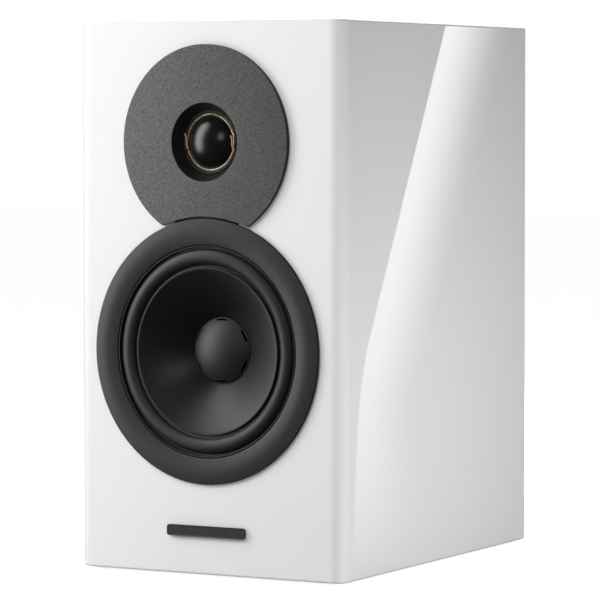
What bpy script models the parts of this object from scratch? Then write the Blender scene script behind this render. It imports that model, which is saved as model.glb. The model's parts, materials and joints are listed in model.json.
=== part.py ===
"""A compact two-way bookshelf loudspeaker, with its drive units, reflex port, terminals and crossover.

Units are metres. +Z is up, the front faces -Y and the cabinet stands on rubber pads at Z = 0.
Depths are measured back from the front face of the cabinet, heights up from its underside.
"""

import math

import bmesh
import bpy
from mathutils import Vector

# Cabinet: a box whose sides taper towards the rear.
CABINET_WIDTH = 0.180
CABINET_HEIGHT = 0.312
CABINET_DEPTH = 0.267
REAR_WIDTH = 0.109
CORNER_RADIUS = 0.008
BAFFLE_THICKNESS = 0.020
WALL_THICKNESS = 0.015
REAR_THICKNESS = 0.018
BRACE_THICKNESS = 0.012
BRACE_FRAME = 0.017
DAMPING_THICKNESS = 0.018

# Clearances.
GAP = 0.0003
MAGNET_GAP = 0.0005
TRIM_GAP = 0.0012
CUT_PAST = 0.01

# Feet and badge.
PAD_RADIUS = 0.006
PAD_THICKNESS = 0.0012
PAD_INSET = 0.020
BADGE_WIDTH = 0.052
BADGE_HEIGHT = 0.0063
BADGE_THICKNESS = 0.0024
BADGE_CENTRE = 0.0245

# Where the drive units sit on the front.
TRIM_PROUD = 0.003
TWEETER_BELOW_TOP = 0.0681
DRIVER_SPACING = 0.1178

# Woofer.
RING_WIDTH = 0.016
RING_DISH = 0.0009
RING_OVERHANG = 0.0025
FLANGE_THICKNESS = 0.0048
FLANGE_SEAT = 0.0085
SURROUND_WIDTH = 0.0087
SURROUND_HEIGHT = 0.0029
SURROUND_THICKNESS = 0.001
SURROUND_LIP = 0.0027
CONE_RADIUS = 0.0477
CONE_RIM = 0.0014
CONE_RIM_DEPTH = -0.0006
CONE_DEPTH = 0.016
CONE_THICKNESS = 0.0007
COIL_RADIUS = 0.0188
COIL_WALL = 0.0008
WINDING_THICKNESS = 0.001
WINDING_LENGTH = 0.011
DUST_CAP_HEIGHT = 0.006
DUST_CAP_THICKNESS = 0.0008
BASKET_DEPTH = 0.040
BASKET_REAR_RADIUS = 0.0415
BASKET_WALL = 0.003
BASKET_WINDOWS = 6
SPIDER_DEPTH = 0.031
SPIDER_THICKNESS = 0.0008
SPIDER_SEAT = 0.0035
SPIDER_WAVES = 2
SPIDER_WAVE_HEIGHT = 0.0011
TOP_PLATE_THICKNESS = 0.005
MAGNET_RADIUS = 0.045
MAGNET_THICKNESS = 0.015
YOKE_THICKNESS = 0.006
YOKE_RADIUS = 0.040
VENT_RADIUS = 0.006
WOOFER_TRAVEL = 0.0045

# Tweeter.
PLATE_RADIUS = 0.055
THROAT_FLARE = 0.00395
THROAT_DEPTH = 0.0065
THROAT_WALL = 0.0033
TWEETER_FLANGE_RADIUS = 0.050
TWEETER_FLANGE_THICKNESS = 0.0044
DOME_RADIUS = 0.0150
DOME_HEIGHT = 0.0070
DOME_THICKNESS = 0.0005
DOME_DEPTH = 0.0042
TWEETER_COIL_WALL = 0.0008
TWEETER_COIL_LENGTH = 0.0075
TWEETER_ROLL = 0.0015
TWEETER_ROLL_HEIGHT = 0.0008
TWEETER_ROLL_THICKNESS = 0.0006
TWEETER_TOP_RADIUS = 0.033
TWEETER_TOP_THICKNESS = 0.0035
TWEETER_MAGNET_RADIUS = 0.0345
TWEETER_MAGNET_THICKNESS = 0.008
TWEETER_YOKE_THICKNESS = 0.004
CHAMBER_RADIUS = 0.030
CHAMBER_LENGTH = 0.028
CHAMBER_WALL = 0.002
LEAD_RADIUS = 0.0003

# Fasteners.
SCREW_HEAD_RADIUS = 0.0035
SCREW_HEAD_HEIGHT = 0.0022
SCREW_SHANK_RADIUS = 0.0018
SCREW_LENGTH = 0.016
WOOFER_SCREWS = 4
TWEETER_SCREWS = 2
TWEETER_SCREW_CIRCLE = 0.041

# Reflex port in the rear panel.
PORT_BELOW_TOP = 0.062
PORT_BORE = 0.018
PORT_LENGTH = 0.115
PORT_WALL = 0.0025
PORT_MOUTH = 0.029
PORT_FLANGE = 0.034
PORT_FLANGE_THICKNESS = 0.0027

# Terminals on the rear panel.
TERMINAL_HEIGHT = 0.066
TERMINAL_PLATE_WIDTH = 0.070
TERMINAL_PLATE_HEIGHT = 0.052
TERMINAL_PLATE_THICKNESS = 0.0028
TERMINAL_PLATE_CORNER = 0.005
PLATE_SCREW_INSET = 0.006
POST_SPACING = 0.034
STUD_RADIUS = 0.003
STUD_INSIDE = 0.013
SOCKET_RADIUS = 0.002
SOCKET_DEPTH = 0.016
COLLAR_RADIUS = 0.008
COLLAR_THICKNESS = 0.003
COLLAR_NECK = 0.0052
WASHER_RADIUS = 0.007
WASHER_THICKNESS = 0.0012
KNOB_RADIUS = 0.0085
KNOB_LENGTH = 0.017
KNOB_TRAVEL = 0.004
RING_RECESS = 0.0013
COLOUR_RING_THICKNESS = 0.0008

# Crossover.
BOARD_WIDTH = 0.070
BOARD_LENGTH = 0.110
BOARD_THICKNESS = 0.0016
BOARD_CLEAR = 0.034
INDUCTOR_RADIUS = 0.021
INDUCTOR_BORE = 0.008
INDUCTOR_HEIGHT = 0.018
CAPACITOR_RADIUS = 0.009
CAPACITOR_LENGTH = 0.032
CABLE_RADIUS = 0.0018
CABLE_RISE = 0.040

# How finely round pieces are cut.
LARGE_STEPS = 36
MEDIUM_STEPS = 20
SMALL_STEPS = 16
SCREW_STEPS = 12
ARC_STEPS = 5
FINE_STEPS = 3

# Sizes that follow from those above.
BASE = PAD_THICKNESS + GAP
SURROUND_RADIUS = CONE_RADIUS + CONE_RIM + SURROUND_WIDTH
RING_RADIUS = SURROUND_RADIUS + TRIM_GAP + RING_WIDTH
FLANGE_RADIUS = RING_RADIUS - RING_OVERHANG
TWEETER_COIL_INNER = DOME_RADIUS + GAP
TWEETER_COIL_OUTER = TWEETER_COIL_INNER + TWEETER_COIL_WALL
THROAT_BOTTOM_RADIUS = TWEETER_COIL_OUTER + GAP + TWEETER_ROLL + GAP
THROAT_RADIUS = THROAT_BOTTOM_RADIUS + THROAT_FLARE
PLATE_FACE = GAP + TERMINAL_PLATE_THICKNESS
KNOB_START = PLATE_FACE + GAP + COLLAR_THICKNESS + GAP + WASHER_THICKNESS + GAP
REAR_PROUD = KNOB_START + KNOB_LENGTH
FACE_Y = (TRIM_PROUD - CABINET_DEPTH - REAR_PROUD) / 2
TAPER = math.atan((CABINET_WIDTH - REAR_WIDTH) / 2 / CABINET_DEPTH)
TWEETER_HEIGHT = CABINET_HEIGHT - TWEETER_BELOW_TOP
WOOFER_HEIGHT = TWEETER_HEIGHT - DRIVER_SPACING
PORT_HEIGHT = CABINET_HEIGHT - PORT_BELOW_TOP
FLANGE_FRONT = 0.0002
REBATE_DEPTH = FLANGE_FRONT + FLANGE_THICKNESS + GAP
TWEETER_REBATE = FLANGE_FRONT + TWEETER_FLANGE_THICKNESS + GAP
CONE_NECK = COIL_RADIUS + GAP
WOOFER_HOLE = FLANGE_RADIUS - FLANGE_SEAT
TWEETER_HOLE = TWEETER_MAGNET_RADIUS + 2 * GAP
BRACE_HEIGHT = (WOOFER_HEIGHT + WOOFER_HOLE + TWEETER_HEIGHT - TWEETER_HOLE) / 2
TOP_PLATE_FRONT = BASKET_DEPTH + GAP
MAGNET_FRONT = TOP_PLATE_FRONT + TOP_PLATE_THICKNESS + GAP
YOKE_FRONT = MAGNET_FRONT + MAGNET_THICKNESS + GAP
BOARD_DEPTH = CABINET_DEPTH - REAR_THICKNESS - BOARD_CLEAR - BOARD_LENGTH

# Colour, roughness and metallic value of each material.
LOOKS = {
    "white_lacquer": ((0.86, 0.86, 0.85), 0.06, 0.0),
    "fibreboard": ((0.45, 0.33, 0.21), 0.85, 0.0),
    "satin_black_metal": ((0.055, 0.055, 0.058), 0.42, 0.6),
    "cone_black": ((0.020, 0.020, 0.021), 0.55, 0.0),
    "black_rubber": ((0.015, 0.015, 0.015), 0.38, 0.0),
    "dome_black": ((0.010, 0.010, 0.010), 0.22, 0.0),
    "black_plastic": ((0.020, 0.020, 0.020), 0.45, 0.0),
    "red_plastic": ((0.55, 0.02, 0.02), 0.35, 0.0),
    "cream_former": ((0.80, 0.68, 0.42), 0.35, 0.3),
    "copper": ((0.72, 0.36, 0.20), 0.30, 1.0),
    "nickel": ((0.65, 0.62, 0.56), 0.22, 1.0),
    "steel": ((0.42, 0.42, 0.42), 0.35, 1.0),
    "ferrite": ((0.06, 0.06, 0.065), 0.60, 0.0),
    "cast_alloy": ((0.30, 0.30, 0.31), 0.50, 1.0),
    "yellow_cloth": ((0.62, 0.47, 0.20), 0.90, 0.0),
    "foam": ((0.10, 0.10, 0.11), 0.95, 0.0),
    "circuit_board": ((0.02, 0.16, 0.06), 0.50, 0.0),
    "cable_black": ((0.020, 0.020, 0.022), 0.55, 0.0),
}


def clear_scene():
    for obj in list(bpy.data.objects):
        bpy.data.objects.remove(obj, do_unlink=True)


def look_of(name):
    """The named material, made once."""
    made = bpy.data.materials.get(name)
    if made:
        return made
    colour, roughness, metallic = LOOKS[name]
    made = bpy.data.materials.new(name)
    made.use_nodes = True
    shader = made.node_tree.nodes["Principled BSDF"]
    shader.inputs["Base Color"].default_value = (*colour, 1.0)
    shader.inputs["Roughness"].default_value = roughness
    shader.inputs["Metallic"].default_value = metallic
    return made


def place(x, depth, height):
    """World position of a point given from the front face and the underside of the cabinet."""
    return Vector((x, FACE_Y + depth, BASE + height))


def half_width(depth):
    """Half the cabinet's outside width at this depth."""
    return (CABINET_WIDTH - (CABINET_WIDTH - REAR_WIDTH) * depth / CABINET_DEPTH) / 2


def inner_half_width(depth):
    return half_width(depth) - WALL_THICKNESS / math.cos(TAPER)


def add_mesh(name, bm, position, look):
    """Turns a bmesh into an object with outward faces and smooth round sides."""
    bmesh.ops.remove_doubles(bm, verts=bm.verts, dist=1e-6)
    bmesh.ops.recalc_face_normals(bm, faces=bm.faces)
    mesh = bpy.data.meshes.new(name)
    bm.to_mesh(mesh)
    bm.free()
    mesh.shade_smooth()
    mesh.set_sharp_from_angle(angle=math.radians(35))
    mesh.materials.append(look_of(look))
    obj = bpy.data.objects.new(name, mesh)
    obj.location = position
    bpy.context.scene.collection.objects.link(obj)
    return obj


def turned(name, outline, position, look, steps=LARGE_STEPS, axis="Y"):
    """A piece turned about an axis through position. The outline holds (place along the axis, radius).

    An outline that starts and ends on the axis is solid, and any other is joined into a ring.
    """
    bm = bmesh.new()
    verts = [bm.verts.new((radius, along, 0)) for along, radius in outline]
    edges = [bm.edges.new(pair) for pair in zip(verts, verts[1:])]
    if outline[0][1] > 0:
        edges.append(bm.edges.new((verts[-1], verts[0])))
    bmesh.ops.spin(
        bm,
        geom=verts + edges,
        cent=(0, 0, 0),
        axis=(0, 1, 0),
        angle=math.tau,
        steps=steps,
        use_merge=True,
    )
    if axis == "Z":
        for vert in bm.verts:
            vert.co = Vector((vert.co.x, -vert.co.z, vert.co.y))
    if axis == "X":
        for vert in bm.verts:
            vert.co = Vector((vert.co.y, -vert.co.x, vert.co.z))
    return add_mesh(name, bm, position, look)


def prism(name, plan, low, high, look):
    """A plan of (x, depth) points, extruded from one height to another."""
    bm = bmesh.new()
    corners = [bm.verts.new(place(x, depth, low)) for x, depth in plan]
    base = bm.faces.new(corners)
    raised = bmesh.ops.extrude_face_region(bm, geom=[base])["geom"]
    lifted = [item for item in raised if isinstance(item, bmesh.types.BMVert)]
    bmesh.ops.translate(bm, verts=lifted, vec=(0, 0, high - low))
    return add_mesh(name, bm, (0, 0, 0), look)


def slab(name, size, centre, look, rounding=0.0, along="Y"):
    """A block. Rounding bevels the four edges that run along one axis."""
    bm = bmesh.new()
    bmesh.ops.create_cube(bm, size=1)
    bmesh.ops.scale(bm, vec=size, verts=bm.verts)
    if rounding:
        index = "XYZ".index(along)
        edges = []
        for edge in bm.edges:
            way = edge.verts[1].co - edge.verts[0].co
            if abs(way[index]) > 0.9 * way.length:
                edges.append(edge)
        bmesh.ops.bevel(bm, geom=edges, offset=rounding, segments=4, profile=0.5, affect="EDGES")
    return add_mesh(name, bm, centre, look)


def tube(name, points, radius, look, smooth=6):
    """A round tube through the points, along a smooth curve."""
    route = [Vector(point) for point in points]
    route = [2 * route[0] - route[1]] + route + [2 * route[-1] - route[-2]]
    line = []
    for index in range(1, len(route) - 2):
        a, b, c, d = route[index - 1 : index + 3]
        for step in range(smooth):
            t = step / smooth
            line.append(
                0.5
                * (
                    2 * b
                    + (c - a) * t
                    + (2 * a - 5 * b + 4 * c - d) * t**2
                    + (3 * b - a - 3 * c + d) * t**3
                )
            )
    line.append(route[-2])
    curve = bpy.data.curves.new(name, "CURVE")
    curve.dimensions = "3D"
    curve.bevel_depth = radius
    curve.bevel_resolution = 2
    curve.use_fill_caps = True
    spline = curve.splines.new("POLY")
    spline.points.add(len(line) - 1)
    for point, co in zip(spline.points, line):
        point.co = (*co, 1)
    curve.materials.append(look_of(look))
    obj = bpy.data.objects.new(name, curve)
    bpy.context.scene.collection.objects.link(obj)
    return obj


def cut(target, *cutters):
    """Takes the cutters out of the target. They stay in the scene as hidden guides."""
    for cutter in cutters:
        cutter.hide_render = True
        cutter.display_type = "WIRE"
        modifier = target.modifiers.new("Cut " + cutter.name, "BOOLEAN")
        modifier.operation = "DIFFERENCE"
        modifier.solver = "EXACT"
        modifier.object = cutter


def arc(centre, size, start, end, steps=ARC_STEPS):
    """Points (along, radius) on an ellipse. Angle 0 points outwards, 90 degrees towards the front."""
    points = []
    for step in range(steps + 1):
        angle = math.radians(start + (end - start) * step / steps)
        along = centre[0] - size[0] * math.sin(angle)
        radius = centre[1] + size[1] * math.cos(angle)
        points.append((along, radius))
    return points


def on_circle(radius, count, start):
    """Evenly spaced (x, z) points."""
    angles = [math.radians(start + 360 * index / count) for index in range(count)]
    return [(radius * math.cos(angle), radius * math.sin(angle)) for angle in angles]


def screw_outline(head, way, spare=0.0, opening=0.0):
    """A screw whose head starts at depth head and whose shank runs in direction way (1 is inwards)."""
    return [
        (head - way * opening, 0),
        (head - way * opening, SCREW_HEAD_RADIUS + spare),
        (head + way * (SCREW_HEAD_HEIGHT + spare), SCREW_HEAD_RADIUS + spare),
        (head + way * (SCREW_HEAD_HEIGHT + spare), SCREW_SHANK_RADIUS + spare),
        (head + way * (SCREW_LENGTH + spare), SCREW_SHANK_RADIUS + spare),
        (head + way * (SCREW_LENGTH + spare), 0),
    ]


def screw(name, x, height, head, way, *targets):
    """A screw, and its clearance hole in each target."""
    origin = place(x, 0, height)
    turned(name, screw_outline(head, way), origin, "steel", SCREW_STEPS)
    hole = turned(name + "_hole", screw_outline(head, way, GAP, 0.004), origin, "steel", SCREW_STEPS)
    for target in targets:
        cut(target, hole)


def rounded_corner(side):
    """The front corner of the plan on one side (1 or -1), from the side wall round to the front face."""
    inside_angle = math.pi / 2 - TAPER
    run = CORNER_RADIUS / math.tan(inside_angle / 2)
    centre_x = CABINET_WIDTH / 2 - run
    points = []
    for step in range(ARC_STEPS + 1):
        angle = -TAPER + (math.pi / 2 + TAPER) * step / ARC_STEPS
        x = centre_x + CORNER_RADIUS * math.cos(angle)
        depth = CORNER_RADIUS - CORNER_RADIUS * math.sin(angle)
        points.append((side * x, depth))
    return points


def cabinet():
    """The six panels of the box, the brace inside it and its damping."""
    plan = [(half_width(BAFFLE_THICKNESS), BAFFLE_THICKNESS)]
    plan += rounded_corner(1)
    plan += reversed(rounded_corner(-1))
    plan.append((-half_width(BAFFLE_THICKNESS), BAFFLE_THICKNESS))
    baffle = prism("front_baffle", plan, 0, CABINET_HEIGHT, "white_lacquer")

    start = BAFFLE_THICKNESS + GAP
    for side, name in ((-1, "left_side_panel"), (1, "right_side_panel")):
        plan = [
            (side * half_width(start), start),
            (side * half_width(CABINET_DEPTH), CABINET_DEPTH),
            (side * inner_half_width(CABINET_DEPTH), CABINET_DEPTH),
            (side * inner_half_width(start), start),
        ]
        prism(name, plan, 0, CABINET_HEIGHT, "white_lacquer")

    def between_sides(front, rear):
        front_half = inner_half_width(front) - GAP
        rear_half = inner_half_width(rear) - GAP
        return [(front_half, front), (rear_half, rear), (-rear_half, rear), (-front_half, front)]

    plan = between_sides(start, CABINET_DEPTH)
    prism("bottom_panel", plan, 0, WALL_THICKNESS, "white_lacquer")
    prism("top_panel", plan, CABINET_HEIGHT - WALL_THICKNESS, CABINET_HEIGHT, "white_lacquer")
    low = WALL_THICKNESS + GAP
    high = CABINET_HEIGHT - WALL_THICKNESS - GAP
    inside_rear = CABINET_DEPTH - REAR_THICKNESS
    rear = prism("rear_panel", between_sides(inside_rear, CABINET_DEPTH), low, high, "white_lacquer")

    brace_rear = inside_rear - GAP
    brace_low = BRACE_HEIGHT - BRACE_THICKNESS / 2
    brace_high = BRACE_HEIGHT + BRACE_THICKNESS / 2
    brace = prism("window_brace", between_sides(start, brace_rear), brace_low, brace_high, "fibreboard")
    window = [
        (side * (inner_half_width(depth) - BRACE_FRAME), depth)
        for side, depth in (
            (1, start + BRACE_FRAME),
            (1, brace_rear - BRACE_FRAME),
            (-1, brace_rear - BRACE_FRAME),
            (-1, start + BRACE_FRAME),
        )
    ]
    window_cut = prism("brace_window", window, brace_low - CUT_PAST, brace_high + CUT_PAST, "fibreboard")
    cut(brace, window_cut)

    pad_high = brace_low - BRACE_THICKNESS
    pad_low = TERMINAL_HEIGHT + TERMINAL_PLATE_HEIGHT / 2 + BRACE_THICKNESS
    width = 2 * inner_half_width(inside_rear) - BRACE_FRAME
    slab(
        "rear_damping_pad",
        (width, DAMPING_THICKNESS, pad_high - pad_low),
        place(0, inside_rear - GAP - DAMPING_THICKNESS / 2, (pad_high + pad_low) / 2),
        "foam",
    )
    return baffle, rear


def feet():
    outline = [(0, 0), (0, PAD_RADIUS), (PAD_THICKNESS, PAD_RADIUS), (PAD_THICKNESS, 0)]
    for end, depth in (("front", PAD_INSET), ("rear", CABINET_DEPTH - PAD_INSET)):
        for side, hand in ((-1, "left"), (1, "right")):
            position = place(side * (half_width(depth) - PAD_INSET), depth, -BASE)
            turned(f"foot_pad_{end}_{hand}", outline, position, "black_rubber", SMALL_STEPS, "Z")


def badge():
    size = (BADGE_WIDTH, BADGE_THICKNESS, BADGE_HEIGHT)
    centre = place(0, -GAP - BADGE_THICKNESS / 2, BADGE_CENTRE)
    slab("badge_bar", size, centre, "satin_black_metal", rounding=BADGE_HEIGHT / 4)


def stepped_bore(rebate, rebate_depth, hole):
    """What is cut from the baffle for a drive unit: a shallow rebate, then a through hole."""
    front = -CUT_PAST
    rear = BAFFLE_THICKNESS + CUT_PAST
    return [(front, 0), (front, rebate), (rebate_depth, rebate), (rebate_depth, hole), (rear, hole), (rear, 0)]


def bite_outline(radius):
    """A cylinder, about the woofer's axis, that takes the lower edge off a tweeter piece."""
    return [(-CUT_PAST, 0), (-CUT_PAST, radius), (CUT_PAST, radius), (CUT_PAST, 0)]


def basket_outline():
    seat_radius = SURROUND_RADIUS + SURROUND_LIP + 2 * GAP
    floor = FLANGE_FRONT + SURROUND_THICKNESS + 2 * GAP
    throat = WOOFER_HOLE - BASKET_WALL
    inner_mouth = SURROUND_RADIUS + GAP
    back = FLANGE_FRONT + FLANGE_THICKNESS
    wall_inside = BASKET_REAR_RADIUS - BASKET_WALL
    seat_inside = wall_inside - SPIDER_SEAT
    seat = SPIDER_DEPTH + SPIDER_THICKNESS / 2 + GAP
    return [
        (FLANGE_FRONT, FLANGE_RADIUS),
        (back, FLANGE_RADIUS),
        (back, throat),
        (SPIDER_DEPTH - BASKET_WALL / 2, BASKET_REAR_RADIUS),
        (BASKET_DEPTH, BASKET_REAR_RADIUS),
        (BASKET_DEPTH, COIL_RADIUS + SPIDER_SEAT + 2 * WINDING_THICKNESS),
        (BASKET_DEPTH - BASKET_WALL, COIL_RADIUS + SPIDER_SEAT + 2 * WINDING_THICKNESS),
        (BASKET_DEPTH - BASKET_WALL, seat_inside),
        (seat, seat_inside),
        (seat, wall_inside),
        (SPIDER_DEPTH - BASKET_WALL, wall_inside),
        (floor + BASKET_WALL, inner_mouth),
        (floor, inner_mouth),
        (floor, seat_radius),
        (FLANGE_FRONT, seat_radius),
    ]


def basket_windows(centre):
    """Radial blocks that open the side wall of the basket between its spokes."""
    bm = bmesh.new()
    front = REBATE_DEPTH + BASKET_WALL
    rear = SPIDER_DEPTH - 1.5 * BASKET_WALL
    middle = (FLANGE_RADIUS + BASKET_REAR_RADIUS) / 2
    width = BASKET_REAR_RADIUS * 0.66
    for index in range(BASKET_WINDOWS):
        angle = math.tau * index / BASKET_WINDOWS
        verts = bmesh.ops.create_cube(bm, size=1)["verts"]
        for vert in verts:
            across = vert.co.x * width
            out = middle + vert.co.z * (FLANGE_RADIUS - BASKET_REAR_RADIUS + 4 * BASKET_WALL)
            x = out * math.cos(angle) - across * math.sin(angle)
            z = out * math.sin(angle) + across * math.cos(angle)
            vert.co = Vector((x, (front + rear) / 2 + vert.co.y * (rear - front), z))
    return add_mesh("basket_windows", bm, centre, "steel")


def woofer(baffle):
    centre = place(0, 0, WOOFER_HEIGHT)
    rebate = FLANGE_RADIUS + GAP
    cut(baffle, turned("woofer_bore", stepped_bore(rebate, REBATE_DEPTH, WOOFER_HOLE), centre, "steel"))

    inner = SURROUND_RADIUS + TRIM_GAP
    ring = [
        (-GAP, RING_RADIUS),
        (-0.8 * TRIM_PROUD, RING_RADIUS),
        (-TRIM_PROUD, RING_RADIUS - 0.2 * TRIM_PROUD),
        (-TRIM_PROUD, RING_RADIUS - RING_WIDTH / 6),
        (-TRIM_PROUD + RING_DISH / 3, RING_RADIUS - RING_WIDTH / 2),
        (-TRIM_PROUD + RING_DISH, inner + RING_WIDTH / 8),
        (-TRIM_PROUD + 1.5 * RING_DISH, inner),
        (-GAP, inner),
    ]
    turned("woofer_trim_ring", ring, centre, "satin_black_metal")

    basket = turned("woofer_basket", basket_outline(), centre, "cast_alloy")
    cut(basket, basket_windows(centre))
    circle = (FLANGE_RADIUS + SURROUND_RADIUS + SURROUND_LIP + 2 * GAP) / 2
    for index, (x, z) in enumerate(on_circle(circle, WOOFER_SCREWS, 45)):
        screw(f"woofer_screw_{index + 1}", x, WOOFER_HEIGHT + z, 2 * GAP, 1, basket, baffle)

    woofer_surround(centre)
    woofer_cone(centre)
    woofer_coil_and_spider(centre)
    woofer_motor(centre)


def woofer_surround(centre):
    half = SURROUND_WIDTH / 2
    level = FLANGE_FRONT + GAP
    middle = SURROUND_RADIUS - half
    lip = CONE_RADIUS - CONE_RIM + GAP
    inner_half = half - SURROUND_THICKNESS
    inner_height = SURROUND_HEIGHT - SURROUND_THICKNESS
    outline = [(level, SURROUND_RADIUS + SURROUND_LIP)]
    outline += arc((level, middle), (SURROUND_HEIGHT, half), 0, 180)
    outline += [(level, lip), (level + SURROUND_THICKNESS, lip)]
    outline += arc((level + SURROUND_THICKNESS, middle), (inner_height + GAP, inner_half), 180, 0)
    outline += [(level + SURROUND_THICKNESS, SURROUND_RADIUS + SURROUND_LIP)]
    turned("woofer_surround", outline, centre, "black_rubber")


def woofer_cone(centre):
    """A curved cone from a flat rim down to the voice coil, and the dust cap over the coil."""
    rim_inner = CONE_RADIUS - CONE_RIM
    bottom = CONE_RIM_DEPTH + CONE_DEPTH
    bend = Vector((CONE_RIM_DEPTH + 0.40 * CONE_DEPTH, CONE_NECK + 0.44 * (rim_inner - CONE_NECK)))
    top = Vector((CONE_RIM_DEPTH, rim_inner))
    foot = Vector((bottom, CONE_NECK))
    front = [(CONE_RIM_DEPTH, CONE_RADIUS)]
    for step in range(ARC_STEPS + 1):
        t = step / ARC_STEPS
        point = top * (1 - t) ** 2 + bend * 2 * t * (1 - t) + foot * t**2
        front.append(tuple(point))
    back = [(depth + CONE_THICKNESS, radius) for depth, radius in reversed(front)]
    turned("woofer_cone", front + back, centre, "cone_black")

    sphere = (COIL_RADIUS**2 + DUST_CAP_HEIGHT**2) / (2 * DUST_CAP_HEIGHT)
    spread = math.degrees(math.asin(COIL_RADIUS / sphere))
    middle = bottom - DUST_CAP_HEIGHT + sphere
    outer = arc((middle, 0), (sphere, sphere), 90, 90 - spread)
    inner = arc((middle + DUST_CAP_THICKNESS, 0), (sphere, sphere), 90 - spread, 90)
    outline = [(outer[0][0], 0)] + outer[1:] + inner[:-1] + [(inner[-1][0], 0)]
    turned("woofer_dust_cap", outline, centre, "cone_black")


def woofer_coil_and_spider(centre):
    start = CONE_RIM_DEPTH + CONE_DEPTH + DUST_CAP_THICKNESS + GAP
    inside = COIL_RADIUS - COIL_WALL
    end = YOKE_FRONT - WOOFER_TRAVEL - 2 * MAGNET_GAP
    winding_start = end - WINDING_LENGTH
    outline = [
        (start, inside),
        (start, COIL_RADIUS),
        (winding_start, COIL_RADIUS),
        (winding_start, COIL_RADIUS + WINDING_THICKNESS),
        (end, COIL_RADIUS + WINDING_THICKNESS),
        (end, inside),
    ]
    turned("woofer_voice_coil", outline, centre, "copper")

    inner = COIL_RADIUS + GAP
    outer = BASKET_REAR_RADIUS - BASKET_WALL - GAP
    seat = outer - SPIDER_SEAT + GAP
    steps = 4 * SPIDER_WAVES
    front = [(SPIDER_DEPTH - SPIDER_THICKNESS / 2, outer)]
    for step in range(steps + 1):
        radius = seat + (inner - seat) * step / steps
        wave = SPIDER_WAVE_HEIGHT * math.sin(math.tau * SPIDER_WAVES * step / steps)
        front.append((SPIDER_DEPTH - SPIDER_THICKNESS / 2 - wave, radius))
    back = [(depth + SPIDER_THICKNESS, radius) for depth, radius in reversed(front)]
    turned("woofer_spider", front + back, centre, "yellow_cloth", MEDIUM_STEPS)


def woofer_motor(centre):
    gap_radius = COIL_RADIUS + WINDING_THICKNESS + MAGNET_GAP
    top_rear = TOP_PLATE_FRONT + TOP_PLATE_THICKNESS
    top = [
        (TOP_PLATE_FRONT, gap_radius),
        (TOP_PLATE_FRONT, YOKE_RADIUS),
        (top_rear, YOKE_RADIUS),
        (top_rear, gap_radius),
    ]
    turned("woofer_top_plate", top, centre, "steel", MEDIUM_STEPS)
    magnet_rear = MAGNET_FRONT + MAGNET_THICKNESS
    inner = gap_radius + 2 * WINDING_THICKNESS
    magnet = [
        (MAGNET_FRONT, inner),
        (MAGNET_FRONT, MAGNET_RADIUS),
        (magnet_rear, MAGNET_RADIUS),
        (magnet_rear, inner),
    ]
    turned("woofer_magnet", magnet, centre, "ferrite", MEDIUM_STEPS)
    pole = COIL_RADIUS - COIL_WALL - MAGNET_GAP
    yoke_rear = YOKE_FRONT + YOKE_THICKNESS
    yoke = [
        (TOP_PLATE_FRONT, VENT_RADIUS),
        (TOP_PLATE_FRONT, pole),
        (YOKE_FRONT, pole),
        (YOKE_FRONT, YOKE_RADIUS),
        (yoke_rear, YOKE_RADIUS),
        (yoke_rear, VENT_RADIUS),
    ]
    turned("woofer_yoke", yoke, centre, "steel", MEDIUM_STEPS)


def tweeter(baffle):
    centre = place(0, 0, TWEETER_HEIGHT)
    woofer_centre = place(0, 0, WOOFER_HEIGHT)
    rebate = TWEETER_FLANGE_RADIUS + GAP
    cut(baffle, turned("tweeter_bore", stepped_bore(rebate, TWEETER_REBATE, TWEETER_HOLE), centre, "steel"))

    bottom = -TRIM_PROUD + THROAT_DEPTH
    boss = THROAT_RADIUS + THROAT_WALL / 2
    plate = [
        (-GAP, PLATE_RADIUS),
        (-0.85 * TRIM_PROUD, PLATE_RADIUS),
        (-TRIM_PROUD, PLATE_RADIUS - 0.15 * TRIM_PROUD),
        (-TRIM_PROUD, THROAT_RADIUS),
        (bottom, THROAT_BOTTOM_RADIUS),
        (bottom, THROAT_BOTTOM_RADIUS + THROAT_WALL),
        (-GAP, boss),
    ]
    face = turned("tweeter_face_plate", plate, centre, "satin_black_metal")
    cut(face, turned("plate_bite", bite_outline(RING_RADIUS + TRIM_GAP), woofer_centre, "steel"))

    flange_rear = FLANGE_FRONT + TWEETER_FLANGE_THICKNESS
    opening = boss + GAP
    flange_outline = [
        (FLANGE_FRONT, opening),
        (FLANGE_FRONT, TWEETER_FLANGE_RADIUS),
        (flange_rear, TWEETER_FLANGE_RADIUS),
        (flange_rear, opening),
    ]
    flange = turned("tweeter_flange", flange_outline, centre, "black_plastic")
    cut(flange, turned("flange_bite", bite_outline(FLANGE_RADIUS + 2 * GAP), woofer_centre, "steel"))
    for index, (x, z) in enumerate(on_circle(TWEETER_SCREW_CIRCLE, TWEETER_SCREWS, 0)):
        screw(f"tweeter_screw_{index + 1}", x, TWEETER_HEIGHT + z, 2 * GAP, 1, flange, baffle)

    tweeter_diaphragm(centre, bottom)
    tweeter_motor(centre, flange_rear)


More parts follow.
